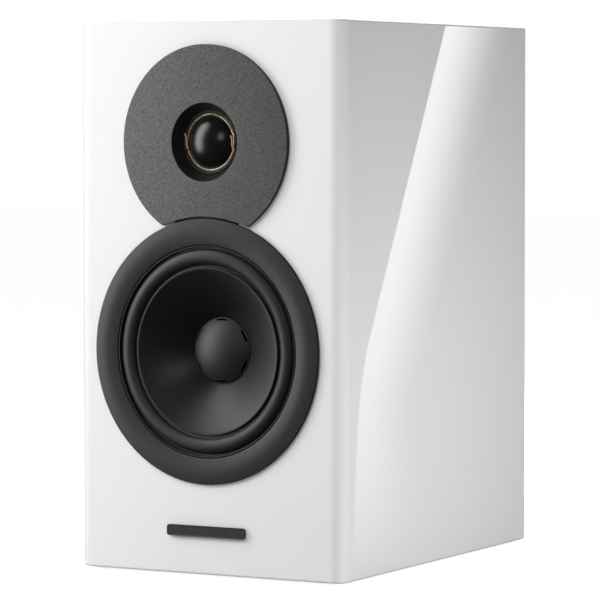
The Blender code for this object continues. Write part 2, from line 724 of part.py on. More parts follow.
def tweeter_diaphragm(centre, bottom):
    """The dome on its coil, the small roll around it, and the two leads that cross the roll."""
    sphere = (DOME_RADIUS**2 + DOME_HEIGHT**2) / (2 * DOME_HEIGHT)
    spread = math.degrees(math.asin(DOME_RADIUS / sphere))
    middle = DOME_DEPTH - DOME_HEIGHT + sphere
    outer = arc((middle, 0), (sphere, sphere), 90, 90 - spread)
    inner = arc((middle + DOME_THICKNESS, 0), (sphere, sphere), 90 - spread, 90)
    outline = [(outer[0][0], 0)] + outer[1:] + inner[:-1] + [(inner[-1][0], 0)]
    turned("tweeter_dome", outline, centre, "dome_black", MEDIUM_STEPS)

    coil_inner = TWEETER_COIL_INNER
    coil_outer = TWEETER_COIL_OUTER
    coil_end = bottom + TWEETER_COIL_LENGTH
    coil = [(bottom, coil_inner), (bottom, coil_outer), (coil_end, coil_outer), (coil_end, coil_inner)]
    turned("tweeter_voice_coil", coil, centre, "cream_former", MEDIUM_STEPS)

    level = bottom + GAP
    roll_inner = coil_outer + GAP
    half = TWEETER_ROLL / 2
    roll_middle = roll_inner + half
    lip = THROAT_BOTTOM_RADIUS + THROAT_WALL
    thick = TWEETER_ROLL_THICKNESS
    outline = [(level + thick, roll_inner), (level + thick, lip), (level, lip)]
    outline += arc((level, roll_middle), (TWEETER_ROLL_HEIGHT, half), 0, 180)
    turned("tweeter_surround", outline, centre, "black_rubber", MEDIUM_STEPS)

    over = level - TWEETER_ROLL_HEIGHT - GAP - 1.5 * LEAD_RADIUS
    outside = roll_inner + TWEETER_ROLL
    for side, name in ((-1, "tweeter_lead_left"), (1, "tweeter_lead_right")):
        shape = (
            (0.94 * outside, -0.00475),
            (0.98 * coil_outer, -0.0032),
            (0.955 * coil_outer, -0.0012),
            (0.96 * coil_outer, 0.0007),
            (0.95 * coil_outer, 0.0025),
            (0.89 * coil_outer, 0.0038),
        )
        points = [centre + Vector((side * x, over, side * z)) for x, z in shape]
        tube(name, points, LEAD_RADIUS, "copper", 4)


def tweeter_motor(centre, flange_rear):
    front = flange_rear + GAP
    rear = front + TWEETER_TOP_THICKNESS
    gap_radius = TWEETER_COIL_OUTER + GAP
    top = [
        (front, gap_radius),
        (front, TWEETER_TOP_RADIUS),
        (rear, TWEETER_TOP_RADIUS),
        (rear, gap_radius),
    ]
    turned("tweeter_top_plate", top, centre, "steel", MEDIUM_STEPS)
    magnet_front = rear + GAP
    magnet_rear = magnet_front + TWEETER_MAGNET_THICKNESS
    inner = gap_radius + 0.003
    magnet = [
        (magnet_front, inner),
        (magnet_front, TWEETER_MAGNET_RADIUS),
        (magnet_rear, TWEETER_MAGNET_RADIUS),
        (magnet_rear, inner),
    ]
    turned("tweeter_magnet", magnet, centre, "ferrite", MEDIUM_STEPS)
    pole = DOME_RADIUS - GAP
    pole_front = front + 0.001
    yoke_front = magnet_rear + GAP
    yoke_rear = yoke_front + TWEETER_YOKE_THICKNESS
    yoke = [
        (pole_front, 0),
        (pole_front, pole),
        (yoke_front, pole),
        (yoke_front, TWEETER_TOP_RADIUS),
        (yoke_rear, TWEETER_TOP_RADIUS),
        (yoke_rear, 0),
    ]
    turned("tweeter_yoke", yoke, centre, "steel", MEDIUM_STEPS)
    cup_front = yoke_rear + GAP
    cup_rear = cup_front + CHAMBER_LENGTH
    inside = CHAMBER_RADIUS - CHAMBER_WALL
    cup = [
        (cup_rear - CHAMBER_WALL, 0),
        (cup_rear - CHAMBER_WALL, inside),
        (cup_front, inside),
        (cup_front, CHAMBER_RADIUS),
        (cup_rear, CHAMBER_RADIUS),
        (cup_rear, 0),
    ]
    turned("tweeter_rear_chamber", cup, centre, "black_plastic", MEDIUM_STEPS)


def port(rear):
    """A flared tube. Its outline is given back from the rear face, so it is turned the other way round."""
    centre = place(0, CABINET_DEPTH, PORT_HEIGHT)
    face = GAP + PORT_FLANGE_THICKNESS
    flare = PORT_MOUTH - PORT_BORE
    body = PORT_MOUTH + PORT_WALL / 2
    inner_end = -PORT_LENGTH
    inner_flare = PORT_WALL * 2
    outline = [(GAP, body), (GAP, PORT_FLANGE), (face - 0.001, PORT_FLANGE), (face, PORT_FLANGE - 0.001)]
    for step in range(ARC_STEPS + 1):
        angle = math.pi / 2 * step / ARC_STEPS
        along = face - flare + flare * math.cos(angle)
        radius = PORT_BORE + flare * (1 - math.sin(angle))
        outline.append((along, radius))
    for step in range(FINE_STEPS + 1):
        angle = math.pi / 2 * step / FINE_STEPS
        along = inner_end + inner_flare - inner_flare * math.sin(angle)
        radius = PORT_BORE + inner_flare * (1 - math.cos(angle))
        outline.append((along, radius))
    outer = PORT_BORE + PORT_WALL
    outline += [
        (inner_end, PORT_BORE + inner_flare + PORT_WALL),
        (inner_end + 0.0015, PORT_BORE + inner_flare + PORT_WALL),
        (inner_end + inner_flare + PORT_WALL, outer),
        (face - flare - PORT_WALL, outer),
        (face - flare / 2 - PORT_WALL, body),
    ]
    turned("port_tube", outline, centre, "black_plastic", MEDIUM_STEPS)
    hole = body + GAP
    start = -REAR_THICKNESS - CUT_PAST
    through = [(start, 0), (start, hole), (CUT_PAST, hole), (CUT_PAST, 0)]
    cut(rear, turned("port_hole", through, centre, "steel", MEDIUM_STEPS))


def terminals(rear):
    middle = PLATE_FACE - TERMINAL_PLATE_THICKNESS / 2
    plate = slab(
        "terminal_plate",
        (TERMINAL_PLATE_WIDTH, TERMINAL_PLATE_THICKNESS, TERMINAL_PLATE_HEIGHT),
        place(0, CABINET_DEPTH + middle, TERMINAL_HEIGHT),
        "satin_black_metal",
        rounding=TERMINAL_PLATE_CORNER,
    )
    across = TERMINAL_PLATE_WIDTH / 2 - PLATE_SCREW_INSET
    up = TERMINAL_PLATE_HEIGHT / 2 - PLATE_SCREW_INSET
    head = CABINET_DEPTH + PLATE_FACE + GAP + SCREW_HEAD_HEIGHT / 2
    for side, rise, name in ((-1, 1, "terminal_plate_screw_1"), (1, -1, "terminal_plate_screw_2")):
        screw(name, side * across, TERMINAL_HEIGHT + rise * up, head, -1, plate, rear)
    for side, name, ring_look in ((-1, "negative", "black_plastic"), (1, "positive", "red_plastic")):
        binding_post(name, side * POST_SPACING / 2, ring_look, plate, rear)


def binding_post(name, x, ring_look, plate, rear):
    """A threaded stud with a socket in its end, its collar, and the knob that clamps a wire."""
    centre = place(x, CABINET_DEPTH, TERMINAL_HEIGHT)
    bore = STUD_RADIUS + GAP
    neck_hole = COLLAR_NECK + GAP
    start = -REAR_THICKNESS - CUT_PAST
    hole = [(start, 0), (start, COLLAR_RADIUS), (GAP / 2, COLLAR_RADIUS)]
    hole += [(GAP / 2, neck_hole), (CUT_PAST, neck_hole), (CUT_PAST, 0)]
    passage = turned(name + "_passage", hole, centre, "steel", SMALL_STEPS)
    cut(rear, passage)
    cut(plate, passage)

    seat = PLATE_FACE + GAP
    collar_face = seat + COLLAR_THICKNESS
    collar = [
        (-0.001, bore),
        (-0.001, COLLAR_NECK),
        (seat, COLLAR_NECK),
        (seat, COLLAR_RADIUS),
        (collar_face - 0.0006, COLLAR_RADIUS),
        (collar_face, COLLAR_RADIUS - 0.0006),
        (collar_face, bore),
    ]
    turned(name + "_collar", collar, centre, "nickel", MEDIUM_STEPS)
    stud_end = REAR_PROUD - RING_RECESS
    stud = [
        (-STUD_INSIDE, 0),
        (-STUD_INSIDE, STUD_RADIUS),
        (stud_end, STUD_RADIUS),
        (stud_end, SOCKET_RADIUS),
        (stud_end - SOCKET_DEPTH, SOCKET_RADIUS),
        (stud_end - SOCKET_DEPTH, 0),
    ]
    turned(name + "_stud", stud, centre, "nickel", SMALL_STEPS)
    washer_start = collar_face + GAP
    washer_end = washer_start + WASHER_THICKNESS
    washer = [
        (washer_start, bore),
        (washer_start, WASHER_RADIUS),
        (washer_end, WASHER_RADIUS),
        (washer_end, bore),
    ]
    turned(name + "_clamp_washer", washer, centre, "nickel", MEDIUM_STEPS)

    recess = KNOB_RADIUS - 0.0015
    knob_end = REAR_PROUD
    knob = [
        (KNOB_START, bore),
        (KNOB_START, KNOB_RADIUS - 0.0008),
        (KNOB_START + 0.0008, KNOB_RADIUS),
        (knob_end - 0.0008, KNOB_RADIUS),
        (knob_end, KNOB_RADIUS - 0.0006),
        (knob_end, recess),
        (knob_end - RING_RECESS, recess),
        (knob_end - RING_RECESS, bore),
    ]
    turned(name + "_knob", knob, centre, "black_plastic", MEDIUM_STEPS)
    ring_start = knob_end - RING_RECESS + GAP
    ring_end = ring_start + COLOUR_RING_THICKNESS
    ring_outer = recess - GAP
    ring = [(ring_start, bore), (ring_start, ring_outer), (ring_end, ring_outer), (ring_end, bore)]
    turned(name + "_colour_ring", ring, centre, ring_look, MEDIUM_STEPS)


def crossover():
    """The board on the floor of the cabinet, its parts, and the cables to the drive units."""
    floor = WALL_THICKNESS + GAP
    top = floor + BOARD_THICKNESS
    board_middle = BOARD_DEPTH + BOARD_LENGTH / 2
    size = (BOARD_WIDTH, BOARD_LENGTH, BOARD_THICKNESS)
    slab("crossover_board", size, place(0, board_middle, floor + BOARD_THICKNESS / 2), "circuit_board")
    coil = [
        (0, INDUCTOR_BORE),
        (0, INDUCTOR_RADIUS),
        (INDUCTOR_HEIGHT, INDUCTOR_RADIUS),
        (INDUCTOR_HEIGHT, INDUCTOR_BORE),
    ]
    coil_depth = BOARD_DEPTH + INDUCTOR_RADIUS + 0.004
    turned("crossover_inductor", coil, place(0, coil_depth, top + GAP), "copper", MEDIUM_STEPS, "Z")
    half = CAPACITOR_LENGTH / 2
    can = [(-half, 0), (-half, CAPACITOR_RADIUS), (half, CAPACITOR_RADIUS), (half, 0)]
    can_depth = coil_depth + INDUCTOR_RADIUS + CAPACITOR_RADIUS + 0.004
    can_place = place(0, can_depth, top + GAP + CAPACITOR_RADIUS)
    turned("crossover_capacitor", can, can_place, "black_plastic", SMALL_STEPS, "X")


def cables():
    """Two-core cables from the terminals to the board and from the board to the drive units."""
    board_top = WALL_THICKNESS + GAP + BOARD_THICKNESS
    lift = board_top + CABLE_RADIUS + GAP
    board_end = BOARD_DEPTH + BOARD_LENGTH
    edge = BOARD_WIDTH / 2 - 2 * CABLE_RADIUS
    inside = CABINET_DEPTH - STUD_INSIDE - CABLE_RADIUS - 2 * GAP
    yoke_rear = YOKE_FRONT + YOKE_THICKNESS
    riser = yoke_rear + CABLE_RISE
    woofer_points = (
        (edge, BOARD_DEPTH + 0.080, lift),
        (edge, BOARD_DEPTH + 0.040, lift + 0.004),
        (edge, riser, lift + 0.030),
        (0.020, yoke_rear + 0.012, WOOFER_HEIGHT - 0.040),
        (0.014, yoke_rear + GAP + 2 * CABLE_RADIUS, WOOFER_HEIGHT - 0.020),
    )
    tube("woofer_cable", [place(*point) for point in woofer_points], CABLE_RADIUS, "cable_black", 4)
    chamber_rear = TWEETER_REBATE + TWEETER_TOP_THICKNESS + TWEETER_MAGNET_THICKNESS
    chamber_rear += TWEETER_YOKE_THICKNESS + CHAMBER_LENGTH + 4 * GAP
    tweeter_points = (
        (-edge, BOARD_DEPTH + 0.080, lift),
        (-edge, BOARD_DEPTH + 0.040, lift + 0.012),
        (-edge, riser, lift + 0.060),
        (-0.012, riser, BRACE_HEIGHT - 0.030),
        (-0.010, riser, BRACE_HEIGHT),
        (-0.010, chamber_rear + 0.020, TWEETER_HEIGHT - 0.024),
        (-0.010, chamber_rear + GAP + 2 * CABLE_RADIUS, TWEETER_HEIGHT - 0.010),
    )
    tube("tweeter_cable", [place(*point) for point in tweeter_points], CABLE_RADIUS, "cable_black", 4)
    input_points = (
        (POST_SPACING / 2, inside, TERMINAL_HEIGHT),
        (POST_SPACING / 2, inside - 0.012, TERMINAL_HEIGHT - 0.006),
        (0.012, board_end + 0.008, TERMINAL_HEIGHT - 0.030),
        (0.006, board_end - 0.006, lift + 0.004),
        (0.004, board_end - 0.014, lift),
    )
    tube("input_cable", [place(*point) for point in input_points], CABLE_RADIUS, "cable_black", 4)


def main():
    clear_scene()
    baffle, rear = cabinet()
    feet()
    badge()
    woofer(baffle)
    tweeter(baffle)
    port(rear)
    terminals(rear)
    crossover()
    cables()


main()
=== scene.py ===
import json
import math

import bpy
import numpy as np
from mathutils import Matrix, Vector


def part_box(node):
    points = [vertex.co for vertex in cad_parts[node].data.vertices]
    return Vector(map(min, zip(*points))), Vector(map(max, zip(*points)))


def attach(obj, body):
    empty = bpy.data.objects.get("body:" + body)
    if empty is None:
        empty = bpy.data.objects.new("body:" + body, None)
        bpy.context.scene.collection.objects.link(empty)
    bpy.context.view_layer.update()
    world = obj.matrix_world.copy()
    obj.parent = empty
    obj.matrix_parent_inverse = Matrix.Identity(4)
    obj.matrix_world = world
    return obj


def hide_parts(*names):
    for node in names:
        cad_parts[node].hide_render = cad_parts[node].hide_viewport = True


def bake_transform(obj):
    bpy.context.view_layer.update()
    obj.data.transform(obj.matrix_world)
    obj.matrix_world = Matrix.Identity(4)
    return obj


bl_info = {
    "name": "Bookshelf Loudspeaker",
    "version": (1, 0, 0),
    "blender": (4, 5, 0),
    "location": "3D View > Sidebar > Loudspeaker",
    "description": "Models a compact two-way loudspeaker, its finishes and a pale studio around it",
    "category": "Object",
}

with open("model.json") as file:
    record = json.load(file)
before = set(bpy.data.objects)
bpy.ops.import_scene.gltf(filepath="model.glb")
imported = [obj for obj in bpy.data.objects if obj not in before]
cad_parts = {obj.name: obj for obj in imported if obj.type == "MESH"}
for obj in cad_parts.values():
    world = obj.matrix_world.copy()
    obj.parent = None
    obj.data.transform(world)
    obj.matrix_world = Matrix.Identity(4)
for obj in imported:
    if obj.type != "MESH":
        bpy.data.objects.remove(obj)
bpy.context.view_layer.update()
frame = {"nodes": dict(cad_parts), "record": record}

MM = 0.001
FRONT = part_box("front_baffle")[0].y
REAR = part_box("rear_panel")[1].y
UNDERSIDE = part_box("bottom_panel")[0].z
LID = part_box("top_panel")[1].z


def middle_of(node, depth=FRONT):
    """The centre of a node, with its depth put on the front of the cabinet or at another depth."""
    low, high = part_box(node)
    return Vector(((low.x + high.x) / 2, depth, (low.z + high.z) / 2))


def reach_of(node):
    """How far behind the rear panel a node starts and ends, in millimetres."""
    low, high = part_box(node)
    return (low.y - REAR) / MM, (high.y - REAR) / MM


WOOFER = middle_of("woofer_trim_ring")
TWEETER = middle_of("tweeter_voice_coil")
PORT = Vector((0, REAR, middle_of("port_tube").z))
TERMINALS = Vector((0, REAR, middle_of("terminal_plate").z))

# Half the cabinet's width at the front and at the rear, and the posts' spacing, in metres.
HALF_WIDTH = 0.090
REAR_HALF_WIDTH = 0.0545
POST_SPACING = 0.034

# An edge that rises more than TALL is one of the cabinet's uprights. Places nearer to each other
# than TOUCHING count as one.
TALL = 0.2
TOUCHING = 1e-5

# Every finish by its name. mix_finishes fills it.
FINISHES = {}


# ---------------------------------------------------------------- settings

COLOUR = {"min": 0, "max": 1, "subtype": "COLOR"}
POWER = {"min": 0, "subtype": "POWER"}


class CabinetSettings(bpy.types.PropertyGroup):
    corner_radius: bpy.props.FloatProperty(
        name="Corner radius",
        description="Rounding of the two upright front corners",
        default=0.008,
        min=0.002,
        max=0.012,
        unit="LENGTH",
    )
    edge_radius: bpy.props.FloatProperty(
        name="Edge radius",
        description="Rounding of every other outside edge",
        default=0.0014,
        min=0.0003,
        max=0.004,
        unit="LENGTH",
    )
    wall: bpy.props.FloatProperty(
        name="Wall thickness",
        description="Thickness of the sides, top and bottom",
        default=0.015,
        min=0.008,
        max=0.022,
        unit="LENGTH",
    )
    lacquer: bpy.props.FloatVectorProperty(
        name="Lacquer",
        description="Colour of the gloss lacquer",
        default=(0.80, 0.80, 0.80),
        **COLOUR,
    )


class WooferSettings(bpy.types.PropertyGroup):
    roll_height: bpy.props.FloatProperty(
        name="Roll height",
        description="How far the rubber roll stands forward",
        default=0.0029,
        min=0.001,
        max=0.004,
        unit="LENGTH",
    )
    cap_slots: bpy.props.IntProperty(
        name="Cap slots",
        description="Number of slots round the edge of the dust cap",
        default=6,
        min=0,
        max=12,
    )
    slot_length: bpy.props.FloatProperty(
        name="Slot length",
        description="Length of each slot in the dust cap",
        default=0.0074,
        min=0.002,
        max=0.012,
        unit="LENGTH",
    )
    ring_colour: bpy.props.FloatVectorProperty(
        name="Trim colour",
        description="Colour of the satin metal trim round both drive units",
        default=(0.043, 0.043, 0.043),
        **COLOUR,
    )
    cone_colour: bpy.props.FloatVectorProperty(
        name="Cone colour",
        description="Colour of the cone and its dust cap",
        default=(0.005, 0.005, 0.0053),
        **COLOUR,
    )


class TweeterSettings(bpy.types.PropertyGroup):
    dome_colour: bpy.props.FloatVectorProperty(
        name="Dome colour",
        description="Colour of the coated cloth dome",
        default=(0.006, 0.006, 0.006),
        **COLOUR,
    )
    thread_pitch: bpy.props.FloatProperty(
        name="Thread pitch",
        description="Distance between the threads of the dome's cloth",
        default=0.00042,
        min=0.0002,
        max=0.001,
        precision=5,
        unit="LENGTH",
    )
    lead_radius: bpy.props.FloatProperty(
        name="Lead radius",
        description="Radius of the copper leads that cross the small roll",
        default=0.0004,
        min=0.0001,
        max=0.0006,
        precision=5,
        unit="LENGTH",
    )


class TerminalSettings(bpy.types.PropertyGroup):
    flutes: bpy.props.IntProperty(
        name="Flutes",
        description="Number of grip flutes round each knob",
        default=18,
        min=6,
        max=30,
    )
    plus_colour: bpy.props.FloatVectorProperty(
        name="Positive colour",
        description="Colour of the ring in the end of the positive knob",
        default=(0.55, 0.015, 0.015),
        **COLOUR,
    )


class StudioSettings(bpy.types.PropertyGroup):
    azimuth: bpy.props.FloatProperty(
        name="Azimuth",
        description="Camera's angle round the cabinet, from straight ahead to its right-hand side",
        default=math.radians(32.548),
        subtype="ANGLE",
    )
    elevation: bpy.props.FloatProperty(
        name="Elevation",
        description="Camera's angle above the level",
        default=math.radians(2.637),
        subtype="ANGLE",
    )
    distance: bpy.props.FloatProperty(
        name="Distance",
        description="Distance from the camera to the point it looks at",
        default=2.39937,
        min=0.5,
        unit="LENGTH",
    )
    lens: bpy.props.FloatProperty(
        name="Focal length",
        description="Focal length of the camera on a 36 mm sensor",
        default=248.14,
        min=20,
        unit="CAMERA",
    )
    strip_power: bpy.props.FloatProperty(
        name="Strip light",
        description="Power of the tall light on the left",
        default=5.9,
        **POWER,
    )
    key_power: bpy.props.FloatProperty(
        name="Key light",
        description="Power of the small light in front",
        default=3.0,
        **POWER,
    )
    fill_power: bpy.props.FloatProperty(
        name="Fill light",
        description="Power of the broad light in front on the left",
        default=6.8,
        **POWER,
    )
    right_power: bpy.props.FloatProperty(
        name="Right light",
        description="Power of the low light that fills the right-hand side",
        default=3.7,
        **POWER,
    )
    low_power: bpy.props.FloatProperty(
        name="Low light",
        description="Power of the light close to the floor on the right",
        default=0.96,
        **POWER,
    )
    rear_power: bpy.props.FloatProperty(
        name="Rear light",
        description="Power of the broad light behind on the left",
        default=11,
        **POWER,
    )
    card_glow: bpy.props.FloatProperty(
        name="Side card",
        description="Brightness of the card that the gloss side mirrors",
        default=3.2,
        min=0,
    )


# ---------------------------------------------------------------- modelling


def leave_edit():
    bpy.ops.object.mode_set(mode="OBJECT")


def put_tools_down():
    """Leaves edit mode and clears the selection, so that the next tool acts on nothing old."""
    if bpy.context.object and bpy.context.object.mode != "OBJECT":
        leave_edit()
    bpy.ops.object.select_all(action="DESELECT")


def take_up(obj):
    """Makes obj the one selected, active object."""
    put_tools_down()
    obj.select_set(True)
    bpy.context.view_layer.objects.active = obj
    return obj


def named(name):
    """Gives the newest object and its data this name."""
    obj = bpy.context.object
    obj.name = name
    obj.data.name = name
    return obj


def settle(obj):
    """Puts an object's place, turn and scale into its mesh."""
    take_up(obj)
    bpy.ops.object.transform_apply(location=True, rotation=True, scale=True)
    return obj


def smooth(obj, angle=30, even=False):
    """Shades smooth up to an angle in degrees. even lets flat faces mirror evenly to the edge."""
    take_up(obj)
    bpy.ops.object.shade_smooth_by_angle(angle=math.radians(angle))
    if even:
        apply_modifier(obj, "WEIGHTED_NORMAL", keep_sharp=True, weight=100)
    return obj


def select(obj, kind, test):
    """In edit mode, selects the vertices, edges or faces of obj that pass the test."""
    take_up(obj)
    bpy.ops.object.mode_set(mode="EDIT")
    bpy.ops.mesh.select_mode(type=kind)
    bpy.ops.mesh.select_all(action="DESELECT")
    leave_edit()
    items = {"VERT": obj.data.vertices, "EDGE": obj.data.edges, "FACE": obj.data.polygons}[kind]
    for item in items:
        item.select = bool(test(item))
    bpy.ops.object.mode_set(mode="EDIT")


def apply_modifier(obj, kind, **values):
    """Gives obj a modifier with these values, and applies it."""
    take_up(obj)
    bpy.ops.object.modifier_add(type=kind)
    modifier = obj.modifiers[-1]
    for key, value in values.items():
        setattr(modifier, key, value)
    bpy.ops.object.modifier_apply(modifier=modifier.name)
    return obj


def carve(obj, *cutters):
    """Cuts each cutter out of obj, with the cutter's own finish on the walls it leaves."""
    for cutter in cutters:
        apply_modifier(
            obj,
            "BOOLEAN",
            operation="DIFFERENCE",
            solver="EXACT",
            object=cutter,
            material_mode="TRANSFER",
        )
        bpy.data.objects.remove(cutter)
    return obj


def coat(obj, *names):
    """Gives obj these finishes, in this order."""
    obj.data.materials.clear()
    for name in names:
        obj.data.materials.append(FINISHES[name])
    return obj


ALONG = {"Y": Vector((0, 1, 0)), "Z": Vector((0, 0, 1))}


def turned(name, outline, centre, steps=96, axis="Y", sharp=30):
    """A piece turned about an axis through centre, from an outline in millimetres: (along, radius).

    An outline that starts on the axis is solid, and any other is joined into a ring.
    """
    along = ALONG[axis]
    points = [centre + along * (a * MM) + Vector((r * MM, 0, 0)) for a, r in outline]
    if outline[0][1] > 0:
        points.append(points[0])
    put_tools_down()
    bpy.ops.mesh.primitive_plane_add(size=0.001, location=(0, 0, 0))
    obj = named(name)
    bpy.ops.object.mode_set(mode="EDIT")
    bpy.ops.mesh.select_mode(type="VERT")
    bpy.ops.mesh.select_all(action="SELECT")
    bpy.ops.mesh.merge(type="CENTER")
    bpy.ops.transform.translate(value=points[0])
    for start, end in zip(points, points[1:]):
        bpy.ops.mesh.extrude_region_move(TRANSFORM_OT_translate={"value": end - start})
    bpy.ops.mesh.select_all(action="SELECT")
    bpy.ops.mesh.spin(steps=steps, angle=math.tau, center=centre, axis=along)
    bpy.ops.mesh.select_all(action="SELECT")
    bpy.ops.mesh.remove_doubles(threshold=2e-6)
    bpy.ops.mesh.select_all(action="SELECT")
    bpy.ops.mesh.normals_make_consistent(inside=False)
    leave_edit()
    return smooth(obj, sharp)


def block(name, low, high):
    """A block between two corners."""
    low, high = Vector(low), Vector(high)
    put_tools_down()
    bpy.ops.mesh.primitive_cube_add(size=1, location=(low + high) / 2)
    obj = named(name)
    obj.scale = high - low
    return settle(obj)


def bevel_edges(obj, test, width, segments):
    """Rounds the edges of obj that pass the test."""
    select(obj, "EDGE", test)
    bpy.ops.mesh.bevel(
        offset=width,
        offset_type="OFFSET",
        segments=segments,
        profile=0.5,
        affect="EDGES",
        clamp_overlap=True,
    )
    leave_edit()
    return obj


def ends(obj, edge):
    """Where an edge of obj starts and ends."""
    return [obj.data.vertices[index].co for index in edge.vertices]


def own_copy(obj, name, shift=(0, 0, 0), turn=0.0, about=(0, 0, 0)):
    """A copy of obj with its own mesh, turned about the depth axis through a point and shifted."""
    take_up(obj)
    bpy.ops.object.duplicate(linked=False)
    copy = named(name)
    bpy.ops.object.mode_set(mode="EDIT")
    bpy.ops.mesh.select_all(action="SELECT")
    if turn:
        bpy.ops.transform.rotate(value=turn, orient_axis="Y", center_override=about)
    bpy.ops.transform.translate(value=shift)
    leave_edit()
    return copy


def round_array(obj, count, about, name):
    """One object that holds count copies of obj, evenly turned about the depth axis."""
    copies = [obj]
    for index in range(1, count):
        copies.append(own_copy(obj, f"{name}_{index}", turn=math.tau * index / count, about=about))
    put_tools_down()
    for copy in copies:
        copy.select_set(True)
    bpy.context.view_layer.objects.active = obj
    if len(copies) > 1:
        bpy.ops.object.join()
    return named(name)


def arc(centre, size, start, end, steps):
    """Points on an ellipse, in millimetres. Angle 0 points outwards, 90 degrees to the front."""
    points = []
    for step in range(steps + 1):
        angle = math.radians(start + (end - start) * step / steps)
        along = centre[0] - size[0] * math.sin(angle)
        points.append((along, centre[1] + size[1] * math.cos(angle)))
    return points


def bowl(radius, rise, depth, wall, steps, wall_steps):
    """The outline of a domed sheet: its rim lies at depth, and its middle stands rise in front."""
    sphere = (radius**2 + rise**2) / (2 * rise)
    spread = math.degrees(math.asin(radius / sphere))
    middle = depth - rise + sphere
    outline = [(depth - rise, 0)]
    outline += arc((middle, 0), (sphere, sphere), 90, 90 - spread, steps)[1:]
    outline += arc((middle + wall, 0), (sphere, sphere), 90 - spread, 90, wall_steps)[:-1]
    return outline + [(depth - rise + wall, 0)]


def bore(name, centre, start, steps, count=96):
    """A cutter for a stepped round hole, in millimetres. Each step is (radius, where it ends)."""
    outline = [(start, 0)]
    for radius, end in steps:
        outline += [(start, radius), (end, radius)]
        start = end
    return turned(name, outline + [(start, 0)], centre, count)


def peg(name, centre, radius, depth, corners):
    """A straight cutter with this many sides that lies along the depth axis, in metres."""
    put_tools_down()
    bpy.ops.mesh.primitive_cylinder_add(
        vertices=corners,
        radius=radius,
        depth=depth,
        location=centre,
        rotation=(math.pi / 2, 0, 0),
    )
    return settle(named(name))


def curve_between(start, bend, end, steps):
    """Points of a smooth curve that leaves start towards bend and reaches end from it."""
    points = []
    for step in range(steps + 1):
        t = step / steps
        along = start[0] * (1 - t) ** 2 + bend[0] * 2 * t * (1 - t) + end[0] * t**2
        radius = start[1] * (1 - t) ** 2 + bend[1] * 2 * t * (1 - t) + end[1] * t**2
        points.append((along, radius))
    return points


def radius_of(place, centre):
    """How far a place lies from the depth axis through centre, in millimetres."""
    return math.hypot(place.x - centre.x, place.z - centre.z) / MM


def through(obj):
    """A test for the edges of a plate that run through it from front to rear."""

    def test(edge):
        a, b = ends(obj, edge)
        return abs(a.y - b.y) > MM

    return test


def soften(obj, width, segments, angle):
    """Rounds every edge that is sharper than an angle in degrees."""
    sharper = {"limit_method": "ANGLE", "angle_limit": math.radians(angle)}
    return apply_modifier(obj, "BEVEL", width=width, segments=segments, **sharper)


def radial_blend(obj, centre, inner, outer):
    """Puts obj's place into its mesh and works out each vertex's share between the moving body,
    inside one radius, and the cabinet, outside the other. The shares are not used, so obj doesn't
    bend.
    """
    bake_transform(obj)
    places = np.zeros(len(obj.data.vertices) * 3, np.float32)
    obj.data.vertices.foreach_get("co", places)
    places = places.reshape(-1, 3)
    radius = np.hypot(places[:, 0] - centre.x, places[:, 2] - centre.z) / MM
    share = np.clip((outer - radius) / (outer - inner), 0, 1)
    share = share * share * (3 - 2 * share)


def finished(obj, body, slot, *nodes):
    """Hangs a piece on its body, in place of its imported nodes. A piece given no body hangs on none.

    A piece that has no finish yet gets its slot's.
    """
    put_tools_down()
    if not obj.data.materials:
        coat(obj, slot)
    if body:
        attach(obj, body)
    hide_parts(*nodes)


# ---------------------------------------------------------------- finishes


class Wiring:
    """Adds nodes to a tree and joins them."""

    def __init__(self, tree):
        self.tree = tree

    def node(self, kind, values=None, **settings):
        """A new node. Each value is a number, a colour or another node's socket."""
        made = self.tree.nodes.new(kind)
        for key, value in settings.items():
            setattr(made, key, value)
        for key, value in (values or {}).items():
            if isinstance(value, bpy.types.NodeSocket):
                self.tree.links.new(value, made.inputs[key])
            else:
                made.inputs[key].default_value = value
        return made

    def maths(self, operation, first, second=0.0):
        return self.node("ShaderNodeMath", {0: first, 1: second}, operation=operation).outputs[0]

    def mixed(self, factor, first, second):
        """Two colours mixed. A Mix node takes them at inputs 6 and 7 and mixes to output 2."""
        values = {0: factor, 6: first, 7: second}
        return self.node("ShaderNodeMix", values, data_type="RGBA").outputs[2]

    def ranged(self, value, low, high, start=0.0, end=1.0, **settings):
        """A value that runs from start to end, brought to between low and high."""
        values = {"Value": value, "From Min": start, "From Max": end, "To Min": low, "To Max": high}
        return self.node("ShaderNodeMapRange", values, **settings).outputs["Result"]

    def noise(self, vector, scale, **values):
        """The Fac socket of a noise texture."""
        values = {"Vector": vector, "Scale": scale, **values}
        return self.node("ShaderNodeTexNoise", values).outputs["Fac"]

    def place(self, name, **values):
        """Puts one of the shared effects into this tree."""
        values = {key.replace("_", " "): value for key, value in values.items()}
        return self.node("ShaderNodeGroup", values, node_tree=bpy.data.node_groups[name]).outputs


def effect(name, inputs, outputs):
    """A node group with these sockets. inputs holds each one's default, or None for a vector.

    Returns its wiring, its inputs and its output node.
    """
    tree = bpy.data.node_groups.new(name, "ShaderNodeTree")
    for socket, default in inputs.items():
        kind = "NodeSocketVector" if default is None else "NodeSocketFloat"
        made = tree.interface.new_socket(socket, in_out="INPUT", socket_type=kind)
        if default is not None:
            made.default_value = default
    for socket in outputs:
        tree.interface.new_socket(socket, in_out="OUTPUT", socket_type="NodeSocketFloat")
    wiring = Wiring(tree)
    return wiring, wiring.node("NodeGroupInput").outputs, wiring.node("NodeGroupOutput")


def grain_effect():
    """Fine speckle, for moulded, blasted and filled surfaces."""
    inputs = {"Vector": None, "Grains per metre": 1200.0}
    w, given, out = effect("Fine grain", inputs, ("Height", "Fleck"))
    grain = w.noise(given["Vector"], given["Grains per metre"], Detail=2.0, Roughness=0.6)
    w.tree.links.new(grain, out.inputs["Height"])
    w.tree.links.new(w.ranged(grain, 0.0, 1.0, 0.35, 0.65), out.inputs["Fleck"])


